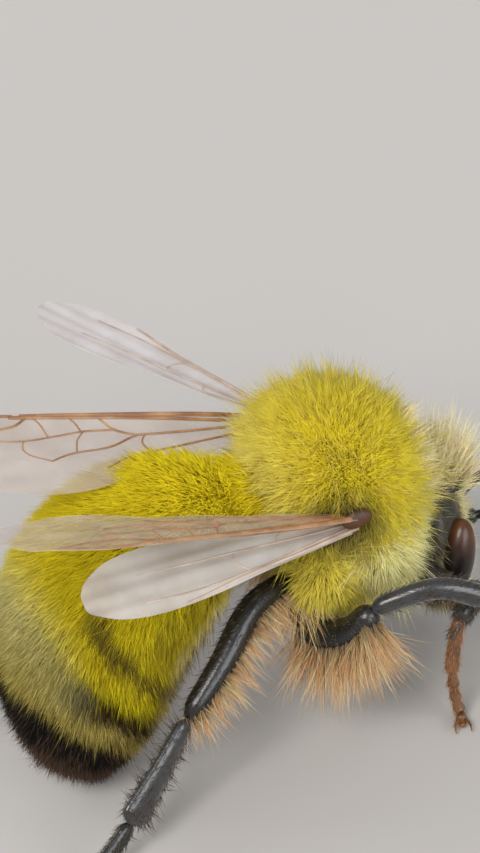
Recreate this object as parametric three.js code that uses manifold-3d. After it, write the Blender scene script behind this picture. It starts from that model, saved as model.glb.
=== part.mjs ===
// A worker bumblebee at rest, life size, standing on the plane z = 0.
// Units are millimetres. The head looks along +X, the bee's left is +Y, and +Z is up.
// Every solid is the outline of a body part out to the tips of its coat.

import * as THREE from 'three';
import { mergeVertices } from 'three/addons/utils/BufferGeometryUtils.js';
import Module from 'manifold-3d';

const wasm = await Module();
wasm.setup();

// ---------------------------------------------------------------- driving dimensions

const GAP = 0.06;                 // clearance between neighbouring pieces
const RING_GAP = 0.006;           // clearance between two rings, as a part of the abdomen's length
const FLOOR_FLAT = 0.07;          // height at which each foot is cut flat

const THORAX = {
  centre: new THREE.Vector3(-0.15, 0, 6.1),
  length: 5.25,
  width: 5.8,
  height: 5.75,
  squareness: 2.35,               // 2 is an ellipsoid, more is fuller at the shoulders
};

const HEAD = {
  centre: new THREE.Vector3(2.45, 0, 3.5),
  setBack: 0.25,                  // the skull's middle behind the point that the head leans about
  depth: 1.7,
  width: 3.3,
  height: 3.5,
  pitch: 0.24,                    // crown leans forward, mouth tucks back
  crestCentre: new THREE.Vector3(2.85, 0, 5.3),
  crest: new THREE.Vector3(1.05, 1.2, 1.05),
  muzzleDrop: 1.55,
};

const EYE = { length: 2.25, width: 0.95, bulge: 0.5, side: 1.38, forward: -0.1, rise: -0.2, lean: 0.1 };

const MANDIBLE = { length: 1.1, radius: 0.3, spread: 0.55 };

const ANTENNA = {
  socket: new THREE.Vector3(3.05, 0.4, 3.7),
  elbow: new THREE.Vector3(4.2, 1.0, 3.8),
  bend: new THREE.Vector3(5.15, 1.35, 3.1),
  tip: new THREE.Vector3(5.55, 1.6, 1.85),
  radius: 0.25,
};

const ABDOMEN = {
  // centre line from the waist over the hump and down to the tip, in the plane y = 0
  line: [[-2.55, 6.4], [-4.5, 6.2], [-6.4, 5.2], [-7.35, 3.15], [-7.7, 1.3], [-7.65, 0.2]],
  // half widths along that line
  girth: [1.5, 2.6, 2.9, 2.6, 1.8, 0.55],
  flatten: 0.95,                  // height over width
  joints: [0, 0.2, 0.38, 0.54, 0.68, 0.81, 1],
};

const TEGULA = { centre: new THREE.Vector3(-0.45, 2.75, 6.5), radius: new THREE.Vector3(0.5, 0.34, 0.38) };

const WING_THICKNESS = 0.5;
const FOREWING = {
  root: new THREE.Vector3(-0.5, 2.4, 6.3),
  length: 10.4,
  chord: 3.7,
};
const HINDWING = {
  root: new THREE.Vector3(-0.65, 2.38, 6.15),
  length: 7.4,
  chord: 2.05,
};
// sweep out from straight back, lift above level, and leading edge raised, in degrees
const WING_POSE = {
  forewing_right: { plan: FOREWING, side: -1, sweep: 15, lift: 25, pitch: 17, raise: 0.1 },
  forewing_left: { plan: FOREWING, side: 1, sweep: 1, lift: 20, pitch: 6, raise: 0.25 },
  hindwing_right: { plan: HINDWING, side: -1, sweep: 8, lift: 10, pitch: -22, raise: 0 },
  hindwing_left: { plan: HINDWING, side: 1, sweep: 62, lift: 10.5, pitch: 5, raise: 0.8 },
};

// Joints of the legs as x, distance out from the middle, and z. The left ones stand back by `shift`.
// The fringe is the depth of the long hairs under the femur.
const LEGS = {
  fore: {
    femur: [[1.2, 1.0, 3.8], [1.75, 2.1, 2.95], [2.3, 2.8, 3.2]],
    tibia: [[2.3, 2.8, 3.2], [1.95, 3.05, 3.1], [1.46, 3.2, 2.9]],
    tarsus: [[1.46, 3.2, 2.9], [1.05, 3.25, 1.7], [0.95, 3.3, 0.75], [0.97, 3.38, 0.27], [0.88, 3.66, 0.22]],
    femurRadius: 0.33, tibiaRadius: 0.28, kneeRadius: 0.25, paddle: 1, fringe: 0.35, shift: 0.35,
  },
  middle: {
    femur: [[-1.9, 1.35, 4.1], [-1.95, 1.9, 3.35], [-1.63, 2.5, 3.25], [-1.16, 3, 3.58], [-0.75, 3.35, 4.25]],
    tibia: [[-0.75, 3.35, 4.25], [0.9, 3.75, 4.4], [2.05, 4.0, 3.75]],
    tarsus: [[2.05, 4.0, 3.75], [2.95, 4.25, 2.0], [3.4, 4.4, 0.6], [3.65, 4.47, 0.27], [4.0, 4.58, 0.22]],
    femurRadius: 0.48, tibiaRadius: 0.34, kneeRadius: 0.27, paddle: 1, fringe: 1.3, shift: -0.6,
  },
  hind: {
    femur: [[-1.9, 1.1, 4.4], [-3.3, 1.75, 4.45], [-4.6, 2.45, 3.65], [-5.85, 2.9, 2.85]],
    tibia: [[-5.85, 2.9, 2.85], [-7.0, 3.4, 1.95], [-8.1, 3.8, 1.15]],
    tarsus: [[-8.1, 3.8, 1.15], [-9.2, 4.2, 0.55], [-10.0, 4.5, 0.27], [-10.6, 4.7, 0.22]],
    femurRadius: 0.37, tibiaRadius: 0.3, kneeRadius: 0.26, paddle: 1.7, fringe: 0.7, shift: 0.3,
  },
};
const TOE_RADIUS = 0.25;
const TARSUS_WAISTS = [0.5, 0.625, 0.75, 0.875];
const CLAW_LENGTH = 0.42;
const CLAW_HEIGHT = 0.15;

const FINISH = {
  pile: { color: 0xe8cc1c, roughness: 0.9, metalness: 0 },
  darkPile: { color: 0x3a2f1c, roughness: 0.9, metalness: 0 },
  shell: { color: 0x14120f, roughness: 0.3, metalness: 0 },
  amber: { color: 0x6a3a1c, roughness: 0.4, metalness: 0 },
  eye: { color: 0x3c170d, roughness: 0.2, metalness: 0 },
  membrane: { color: 0xd9c8b8, roughness: 0.35, metalness: 0 },
};

// ---------------------------------------------------------------- solids

function toSolid({ attributes, index }) {
  return new wasm.Manifold(new wasm.Mesh({
    numProp: 3,
    vertProperties: new Float32Array(attributes.position.array),
    triVerts: new Uint32Array(index.array),
  }));
}

// Merges a closed geometry's vertices and makes a solid of it whose faces point out.
function outward(geometry) {
  geometry.deleteAttribute('normal');
  geometry.deleteAttribute('uv');
  const merged = mergeVertices(geometry, 1e-6);
  const solid = toSolid(merged);
  if (solid.volume() > 0) {
    return solid;
  }
  const corners = merged.index.array;
  for (let i = 0; i < corners.length; i += 3) {
    [corners[i], corners[i + 1]] = [corners[i + 1], corners[i]];
  }
  return toSolid(merged);
}

function toGeometry(solid) {
  const mesh = solid.getMesh();
  const geometry = new THREE.BufferGeometry();
  geometry.setAttribute('position', new THREE.BufferAttribute(new Float32Array(mesh.vertProperties), 3));
  geometry.setIndex(new THREE.BufferAttribute(new Uint32Array(mesh.triVerts), 1));
  return geometry;
}

function moveVertices(geometry, place) {
  const position = geometry.attributes.position;
  const point = new THREE.Vector3();
  for (let i = 0; i < position.count; i += 1) {
    point.fromBufferAttribute(position, i);
    const moved = place(point);
    position.setXYZ(i, moved.x, moved.y, moved.z);
  }
  return geometry;
}

// A rounded body: a sphere drawn out to its half sizes, made fuller by `squareness`.
function pod(centre, halfSizes, squareness = 2, across = 14, down = 8) {
  const sphere = new THREE.SphereGeometry(1, across, down);
  return moveVertices(sphere, (p) => {
    const norm = (Math.abs(p.x) ** squareness + Math.abs(p.y) ** squareness + Math.abs(p.z) ** squareness);
    return p.clone().multiplyScalar(norm ** (-1 / squareness)).multiply(halfSizes).add(centre);
  });
}

// A limb along a smooth line, half a gap short at each end: `profile(s)` gives its half thickness,
// its half width and how much deeper it is below, at s from 0 to 1.
function limb(points, profile, sides, steps, levelAxis = new THREE.Vector3(0, 0, 1)) {
  const line = new THREE.CatmullRomCurve3(points, false, 'centripetal');
  const inset = GAP / 2 / line.getLength();
  const drum = new THREE.CylinderGeometry(1, 1, 1, sides, steps);
  return moveVertices(drum, (p) => {
    const s = 0.5 - p.y;
    const t = inset + (1 - 2 * inset) * s;
    const tangent = line.getTangentAt(t);
    const across = new THREE.Vector3().crossVectors(levelAxis, tangent).normalize();
    const up = new THREE.Vector3().crossVectors(tangent, across);
    const [thick, wide, deeper = 0] = profile(s);
    const height = p.z * (p.z < 0 ? thick + deeper : thick);
    return line.getPointAt(t).addScaledVector(across, p.x * wide).addScaledVector(up, height);
  });
}

// Rounds both ends of a limb off over the stretch `cap`, measured in t.
function roundedEnd(t, cap) {
  const nearest = Math.min(t, 1 - t);
  if (nearest >= cap) {
    return 1;
  }
  const inside = 1 - nearest / cap;
  return Math.sqrt(Math.max(0.12, 1 - inside * inside));
}

function mirrored(vector, side) {
  return new THREE.Vector3(vector.x, vector.y * side, vector.z);
}

function vectors(list, side, shift) {
  return list.map(([x, y, z]) => new THREE.Vector3(x - shift, y * side, z));
}

// ---------------------------------------------------------------- trunk and head

function thoraxSolid(grow = 0) {
  const size = new THREE.Vector3(THORAX.length, THORAX.width, THORAX.height);
  const half = size.multiplyScalar(0.5).addScalar(grow);
  return outward(pod(THORAX.centre, half, THORAX.squareness, 26, 16));
}

// The abdomen's outline from t0 to t1 of its centre line, with flat ends where the rings meet.
function abdomenRing(t0, t1, steps, grow = 0) {
  const spine = new THREE.CatmullRomCurve3(
    ABDOMEN.line.map(([x, z]) => new THREE.Vector3(x, 0, z)), false, 'centripetal');
  const girth = new THREE.CatmullRomCurve3(
    ABDOMEN.girth.map((r, i) => new THREE.Vector3(i, r, 0)), false, 'centripetal');
  const drum = new THREE.CylinderGeometry(1, 1, 1, 24, steps);
  return moveVertices(drum, (p) => {
    const t = t0 + (t1 - t0) * (0.5 - p.y);
    const tangent = spine.getTangent(t);
    const up = new THREE.Vector3(tangent.z, 0, -tangent.x);
    const radius = girth.getPoint(t).y + grow;
    const at = spine.getPoint(t);
    return at.addScaledVector(up, p.z * radius * ABDOMEN.flatten).add(new THREE.Vector3(0, p.x * radius, 0));
  });
}

function leaned(point, centre, angle) {
  return point.sub(centre).applyAxisAngle(new THREE.Vector3(0, 1, 0), angle).add(centre);
}

function eyeGeometry(side, grow = 0) {
  const half = new THREE.Vector3(EYE.width / 2, EYE.bulge, EYE.length / 2).addScalar(grow);
  const centre = new THREE.Vector3(HEAD.centre.x + EYE.forward, side * EYE.side, HEAD.centre.z + EYE.rise);
  return moveVertices(pod(centre, half, 2.2, 12, 8), (p) => leaned(p, HEAD.centre, HEAD.pitch + EYE.lean));
}

function headSolid() {
  const half = new THREE.Vector3(HEAD.depth, HEAD.width, HEAD.height).multiplyScalar(0.5);
  const middle = new THREE.Vector3(HEAD.centre.x - HEAD.setBack, 0, HEAD.centre.z);
  const skull = moveVertices(pod(middle, half, 2.4, 20, 12), (p) => leaned(p, HEAD.centre, HEAD.pitch));
  const crest = pod(HEAD.crestCentre, HEAD.crest);
  const muzzleCentre = new THREE.Vector3(HEAD.centre.x, 0, HEAD.centre.z - HEAD.muzzleDrop);
  const muzzle = moveVertices(
    pod(muzzleCentre, new THREE.Vector3(0.72, 0.95, 0.72), 2.3),
    (p) => leaned(p, HEAD.centre, HEAD.pitch));
  return outward(skull).add(outward(crest)).add(outward(muzzle));
}

function mandible(side) {
  const top = new THREE.Vector3(HEAD.centre.x - 0.2, side * MANDIBLE.spread, HEAD.centre.z - 2.1);
  const bottom = new THREE.Vector3(top.x + 0.1, side * 0.33, top.z - MANDIBLE.length * 0.72);
  const middle = top.clone().lerp(bottom, 0.5).add(new THREE.Vector3(0.08, side * 0.12, 0));
  const profile = (t) => {
    const radius = MANDIBLE.radius * roundedEnd(t, 0.25) * (1 - 0.2 * t);
    return [radius, radius];
  };
  return outward(limb([top, middle, bottom], profile, 6, 5, new THREE.Vector3(1, 0, 0)));
}

// ---------------------------------------------------------------- wings

// Wing outlines: x runs from root to tip and y towards the leading edge, as parts of length and chord.
function forewingShape({ length, chord }) {
  const shape = new THREE.Shape();
  shape.moveTo(0, 0.1 * chord);
  shape.bezierCurveTo(0.2 * length, 0.2 * chord, 0.5 * length, 0.25 * chord, 0.74 * length, 0.26 * chord);
  shape.bezierCurveTo(0.92 * length, 0.27 * chord, length, 0.1 * chord, length, -0.12 * chord);
  shape.bezierCurveTo(length, -0.45 * chord, 0.86 * length, -0.7 * chord, 0.68 * length, -0.73 * chord);
  shape.bezierCurveTo(0.5 * length, -0.76 * chord, 0.34 * length, -0.42 * chord, 0, -0.08 * chord);
  shape.closePath();
  return shape;
}

function hindwingShape({ length, chord }) {
  const shape = new THREE.Shape();
  shape.moveTo(0, 0.12 * chord);
  shape.bezierCurveTo(0.2 * length, 0.18 * chord, 0.45 * length, 0.34 * chord, 0.7 * length, 0.38 * chord);
  shape.bezierCurveTo(0.9 * length, 0.4 * chord, length, 0.2 * chord, length, 0);
  shape.bezierCurveTo(length, -0.4 * chord, 0.84 * length, -0.64 * chord, 0.66 * length, -0.6 * chord);
  shape.bezierCurveTo(0.48 * length, -0.55 * chord, 0.42 * length, -0.3 * chord, 0, -0.12 * chord);
  shape.closePath();
  return shape;
}

// Axes of a wing: span away from the root, lead across to the leading edge, and the normal.
function wingAxes({ side, sweep, lift, pitch }) {
  const [a, b, c] = [sweep, lift, pitch].map(THREE.MathUtils.degToRad);
  const span = new THREE.Vector3(-Math.cos(a) * Math.cos(b), side * Math.sin(a) * Math.cos(b), Math.sin(b));
  const out = new THREE.Vector3(0, side, 0);
  const level = out.addScaledVector(span, -out.dot(span)).normalize();
  const rise = new THREE.Vector3().crossVectors(span, level).multiplyScalar(-side);
  const lead = level.multiplyScalar(Math.cos(c)).addScaledVector(rise, Math.sin(c));
  const normal = new THREE.Vector3().crossVectors(span, lead);
  return { span, lead, normal };
}

function wingSolid(pose, grow = 0) {
  const plan = { length: pose.plan.length + grow, chord: pose.plan.chord + 2 * grow };
  const shape = pose.plan === FOREWING ? forewingShape(plan) : hindwingShape(plan);
  const depth = WING_THICKNESS + 2 * grow;
  const plate = new THREE.ExtrudeGeometry(shape, { depth, bevelEnabled: false, curveSegments: 6 });
  const { span, lead, normal } = wingAxes(pose);
  const root = mirrored(pose.plan.root, pose.side);
  root.z += pose.raise;
  moveVertices(plate, (p) => root.clone()
    .addScaledVector(span, p.x)
    .addScaledVector(lead, p.y)
    .addScaledVector(normal, p.z - depth / 2));
  return outward(plate);
}

// ---------------------------------------------------------------- legs and feelers

function femurSolid(leg, side, grow = 0) {
  const profile = (t) => {
    const swell = Math.sin(Math.PI * Math.min(1, 0.18 + 0.72 * t));
    const radius = (leg.kneeRadius + (leg.femurRadius - leg.kneeRadius) * swell) * roundedEnd(t, 0.12);
    return [radius + grow, radius * 0.94 + grow, leg.fringe * Math.sin(Math.PI * t)];
  };
  return outward(limb(vectors(leg.femur, side, leg.offset), profile, 8, 8));
}

function tibiaSolid(leg, side, grow = 0) {
  const profile = (t) => {
    const broad = leg.kneeRadius + (leg.tibiaRadius - leg.kneeRadius) * t;
    const paddle = 1 + (leg.paddle - 1) * t ** 0.8;
    const end = roundedEnd(t, 0.12);
    return [broad * paddle * end + grow, Math.max(TOE_RADIUS, broad * 0.9) * end + grow];
  };
  return outward(limb(vectors(leg.tibia, side, leg.offset), profile, 8, 7));
}

// Basitarsus, three short joints and a long last one, as waists along one line.
function tarsusSolid(leg, side) {
  const points = vectors(leg.tarsus, side, leg.offset);
  const profile = (t) => {
    const waist = TARSUS_WAISTS.some((w) => Math.abs(w - t) < 0.02) ? 0.9 : 1.04;
    const broad = t < TARSUS_WAISTS[0] ? 1 + (leg.paddle - 1) * 0.6 : 1;
    const radius = TOE_RADIUS * waist * roundedEnd(t, 0.08);
    return [radius * broad, radius];
  };
  let foot = outward(limb(points, profile, 6, 16));
  const toe = points[points.length - 1];
  const heading = toe.clone().sub(points[points.length - 2]).setZ(0).normalize();
  const sideways = new THREE.Vector3(-heading.y, heading.x, 0);
  for (const turn of [-1, 1]) {
    const knuckle = toe.clone().addScaledVector(heading, 0.1).addScaledVector(sideways, turn * 0.16);
    const hook = toe.clone().addScaledVector(heading, CLAW_LENGTH).addScaledVector(sideways, turn * 0.3);
    const profileClaw = (t) => {
      const radius = TOE_RADIUS * (0.75 - 0.35 * t) * roundedEnd(t, 0.2);
      return [radius, radius];
    };
    foot = foot.add(outward(limb([toe, knuckle, hook.setZ(CLAW_HEIGHT)], profileClaw, 5, 3)));
  }
  return foot.trimByPlane([0, 0, 1], FLOOR_FLAT);
}

function antennaSolids(side, grow = 0) {
  const [socket, elbow, bend, tip] = [ANTENNA.socket, ANTENNA.elbow, ANTENNA.bend, ANTENNA.tip]
    .map((v) => mirrored(v, side));
  const profile = (t) => {
    const radius = ANTENNA.radius * roundedEnd(t, 0.12) + grow;
    return [radius, radius];
  };
  const middle = socket.clone().lerp(elbow, 0.5).add(new THREE.Vector3(0.06, side * 0.04, 0.05));
  const scape = outward(limb([socket, middle, elbow], profile, 6, 5));
  const flagellum = outward(limb([elbow, bend, tip], profile, 6, 9));
  return { scape, flagellum };
}

// ---------------------------------------------------------------- assembly

// Takes the outlines of neighbours, already grown by the gap, out of a solid.
function clearOf(solid, ...neighbours) {
  return neighbours.reduce((left, other) => left.subtract(other), solid);
}

// The biggest body of what a cut leaves, so that no crumb stays beside it.
function mainBody(solid) {
  return solid.decompose().reduce((best, part) => (part.volume() > best.volume() ? part : best));
}

function grown(solid) {
  const { min, max } = solid.boundingBox();
  const centre = min.map((low, i) => (low + max[i]) / 2);
  const scale = min.map((low, i) => 1 + (2 * GAP) / (max[i] - low));
  return solid.translate(centre.map((c) => -c)).scale(scale).translate(centre);
}

const group = new THREE.Group();

function addPart(name, solid, finish) {
  const mesh = new THREE.Mesh(toGeometry(mainBody(solid)), new THREE.MeshStandardMaterial(finish));
  mesh.name = name;
  group.add(mesh);
}

const SIDES = { right: -1, left: 1 };

const thoraxClear = thoraxSolid(GAP);
addPart('thorax', thoraxSolid(), FINISH.pile);

const eyesClear = Object.values(SIDES).map((side) => outward(eyeGeometry(side, GAP)));
const head = mainBody(clearOf(headSolid(), thoraxClear, ...eyesClear));
const headClear = grown(head);
addPart('head', head, FINISH.pile);

for (const [word, side] of Object.entries(SIDES)) {
  const { scape, flagellum } = antennaSolids(side);
  const scapeClear = antennaSolids(side, GAP).scape;
  addPart(`eye_${word}`, clearOf(outward(eyeGeometry(side)), thoraxClear), FINISH.eye);
  addPart(`mandible_${word}`, clearOf(mandible(side), headClear), FINISH.amber);
  addPart(`antenna_scape_${word}`, clearOf(scape, headClear), FINISH.shell);
  addPart(`antenna_flagellum_${word}`, clearOf(flagellum, scapeClear), FINISH.shell);
}

for (const [word, side] of Object.entries(SIDES)) {
  const plate = outward(pod(mirrored(TEGULA.centre, side), TEGULA.radius));
  addPart(`tegula_${word}`, clearOf(plate, thoraxClear), FINISH.amber);
}

for (const [name, pose] of Object.entries(WING_POSE)) {
  const over = WING_POSE[name.replace('hind', 'fore')];
  const cover = over === pose ? [] : [wingSolid(over, GAP)];
  const tegulaRadius = TEGULA.radius.clone().addScalar(GAP);
  const tegulaClear = outward(pod(mirrored(TEGULA.centre, pose.side), tegulaRadius));
  addPart(name, clearOf(wingSolid(pose), thoraxClear, tegulaClear, ...cover), FINISH.membrane);
}
const wingsClear = Object.values(WING_POSE).map((pose) => wingSolid(pose, GAP));

const ringCount = ABDOMEN.joints.length - 1;
for (let i = 0; i < ringCount; i += 1) {
  const end = ABDOMEN.joints[i + 1] - (i < ringCount - 1 ? RING_GAP : 0);
  const ring = outward(abdomenRing(ABDOMEN.joints[i], end, 3));
  const finish = i < 3 ? FINISH.pile : FINISH.darkPile;
  addPart(`abdomen_${i + 1}`, clearOf(ring, thoraxClear, ...wingsClear), finish);
}
const abdomenClear = outward(abdomenRing(0, 1, 3 * ringCount, GAP));

for (const [pair, plan] of Object.entries(LEGS)) {
  for (const [word, side] of Object.entries(SIDES)) {
    const leg = { ...plan, offset: side > 0 ? plan.shift : 0 };
    const femur = clearOf(femurSolid(leg, side), thoraxClear, headClear, abdomenClear);
    const tibia = clearOf(tibiaSolid(leg, side), femurSolid(leg, side, GAP), headClear, abdomenClear);
    const tarsus = clearOf(tarsusSolid(leg, side), tibiaSolid(leg, side, GAP));
    addPart(`${pair}_femur_${word}`, femur, FINISH.shell);
    addPart(`${pair}_tibia_${word}`, tibia, FINISH.shell);
    addPart(`${pair}_tarsus_${word}`, tarsus, FINISH.amber);
  }
}

// The model stands on z = 0 with the middle of its outline over the origin.
const outline = new THREE.Box3().setFromObject(group);
const middle = outline.getCenter(new THREE.Vector3());
group.position.set(-middle.x, -middle.y, -outline.min.z);

export default group;
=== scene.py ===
"""The looks of a life-size worker bumblebee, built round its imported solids.

The bee is shaped in millimetres in its own frame, head towards +X, its left at +Y, the middle of the thorax
at THORAX_AT. Each finished piece is then brought to metres and to the place of the solids.
"""

import logging
import math
from collections.abc import Callable, Sequence
from dataclasses import dataclass, field
from enum import Enum

import bpy
import numpy as np
from mathutils import Matrix, Vector
from mathutils.bvhtree import BVHTree
from mathutils.kdtree import KDTree


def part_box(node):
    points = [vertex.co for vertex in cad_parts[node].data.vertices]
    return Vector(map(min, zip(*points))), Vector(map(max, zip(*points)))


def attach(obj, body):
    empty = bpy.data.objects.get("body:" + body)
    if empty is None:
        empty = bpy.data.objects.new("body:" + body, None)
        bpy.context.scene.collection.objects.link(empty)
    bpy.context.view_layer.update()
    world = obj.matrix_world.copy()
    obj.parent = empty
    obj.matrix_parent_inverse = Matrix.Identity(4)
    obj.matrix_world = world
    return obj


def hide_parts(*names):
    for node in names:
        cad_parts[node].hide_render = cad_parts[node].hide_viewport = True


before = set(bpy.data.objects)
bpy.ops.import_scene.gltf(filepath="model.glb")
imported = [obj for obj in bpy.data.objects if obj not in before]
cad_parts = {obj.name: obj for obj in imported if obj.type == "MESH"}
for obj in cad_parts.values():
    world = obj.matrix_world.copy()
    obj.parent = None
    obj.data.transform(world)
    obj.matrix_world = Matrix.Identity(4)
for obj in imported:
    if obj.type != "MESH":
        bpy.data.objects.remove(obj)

log = logging.getLogger("bumblebee")

MM = 0.001  # metres in one modelling unit
BODY = "root"
THORAX_AT = np.array([-0.15, 0.0, 6.1])  # middle of the thorax in the bee's own frame
HEAD_AT = np.array([2.45, 0.0, 3.5])  # what the head is pitched about
HEAD_PITCH = 0.24  # how far its crown goes forward, in radians
SEED = 20
NO_LENGTH = 1e-9  # lengths under this count as none

Points = np.ndarray
Triple = tuple[float, float, float]
Piece = bpy.types.Object
Material = bpy.types.Material
Socket = bpy.types.NodeSocket
Rule = Callable[[Points, Points], Points]  # a value for each place and its normal


# ---- small mathematics

def unit(vectors: Points) -> Points:
    """Vectors along the last axis, brought to length one."""
    return vectors / np.maximum(np.linalg.norm(vectors, axis=-1, keepdims=True), NO_LENGTH)


def ramp(value: Points, start: float, end: float) -> Points:
    """A smooth step from 0 at start to 1 at end."""
    t = np.clip((value - start) / (end - start), 0.0, 1.0)
    return t * t * (3.0 - 2.0 * t)


def mixed(first: Points, second: Points, share: Points) -> Points:
    """Colours or vectors blended row by row, with share of the second."""
    return first + (second - first) * np.asarray(share)[..., None]


def leaned(points: Points, angle: float) -> Points:
    """Points turned about the head's middle, so that the crown goes forward.

    Args:
        points: the places.
        angle: how far, in radians.

    Returns:
        The turned places.
    """
    x, y, z = (points - HEAD_AT).T
    cos, sin = math.cos(angle), math.sin(angle)
    return np.stack([x * cos + z * sin, y, z * cos - x * sin], axis=-1) + HEAD_AT


def strewn(rng: np.random.Generator, weight: Points, count: int) -> tuple[Points, Points, Points, Points]:
    """Random places on triangles.

    Args:
        rng: the source of chance.
        weight: how much each triangle draws.
        count: how many places.

    Returns:
        The triangle of each place and its shares of the first, second and third corner.
    """
    picked = rng.choice(len(weight), count, p=weight / weight.sum())
    u, v = rng.random((2, count))
    fold = u + v > 1
    u, v = np.where(fold, 1 - u, u)[:, None], np.where(fold, 1 - v, v)[:, None]
    return picked, 1 - u - v, u, v


@dataclass(frozen=True)
class SmoothLine:
    """A smooth line through a few points, a centripetal Catmull-Rom curve."""

    points: Sequence[Sequence[float]]

    def at(self, t: Points) -> Points:
        """Places on the line.

        Args:
            t: the line's own parameter, 0 at the first point and 1 at the last.

        Returns:
            One place for each value of t.
        """
        held = np.array(self.points, float)
        held = np.vstack([2 * held[0] - held[1], held, 2 * held[-1] - held[-2]])
        spot = np.clip(np.asarray(t, float), 0, 1) * (len(held) - 3)
        piece = np.minimum(spot.astype(int), len(held) - 4)
        w = (spot - piece)[:, None]
        p0, p1, p2, p3 = (held[piece + k] for k in range(4))
        pairs = ((p0, p1), (p1, p2), (p2, p3))
        d0, d1, d2 = (np.sqrt(np.linalg.norm(b - a, axis=1, keepdims=True)) for a, b in pairs)
        m1 = ((p1 - p0) / d0 - (p2 - p0) / (d0 + d1) + (p2 - p1) / d1) * d1
        m2 = ((p2 - p1) / d1 - (p3 - p1) / (d1 + d2) + (p3 - p2) / d2) * d1
        return p1 + m1 * w + (3 * (p2 - p1) - 2 * m1 - m2) * w ** 2 + (2 * (p1 - p2) + m1 + m2) * w ** 3

    def even(self, count: int, start: float = 0.0, end: float = 1.0) -> Points:
        """Places at equal distances along the line.

        Args:
            count: how many places.
            start: where the stretch starts, as a part of the length.
            end: where the stretch ends, as a part of the length.

        Returns:
            The places, first to last.
        """
        fine = self.at(np.linspace(0, 1, 400))
        run = np.concatenate([[0], np.cumsum(np.linalg.norm(np.diff(fine, axis=0), axis=1))])
        wanted = np.linspace(start, end, count) * run[-1]
        return np.stack([np.interp(wanted, run, fine[:, k]) for k in range(fine.shape[1])], axis=-1)


# ---- finishes

class Pigment(Enum):
    """The colours of the hairs and the shell, in linear light."""

    BRIGHT = (0.81, 0.67, 0.014)
    LEMON = (1.00, 0.93, 0.42)
    GOLD = (0.62, 0.50, 0.12)
    CREAM = (1.00, 0.85, 0.49)
    # the orange tan of the breast and leg fringes: partly the hairs' own colour, partly painted reflection of
    # red surroundings
    TAN = (0.64, 0.28, 0.10)
    OLIVE = (0.20, 0.14, 0.02)
    BROWN = (0.044, 0.024, 0.008)
    BLACK = (0.011, 0.010, 0.008)
    SMOKE = (0.13, 0.08, 0.055)

    @property
    def rgb(self) -> Points:
        """The colour as an array."""
        return np.array(self.value)


class Slot(Enum):
    """The material slots of the record."""

    YELLOW_PILE = "yellow_pile"
    BANDED_PILE = "banded_pile"
    BLACK_SHELL = "black_shell"
    AMBER_SHELL = "amber_shell"
    EYE = "eye"
    WING = "wing_membrane"


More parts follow.
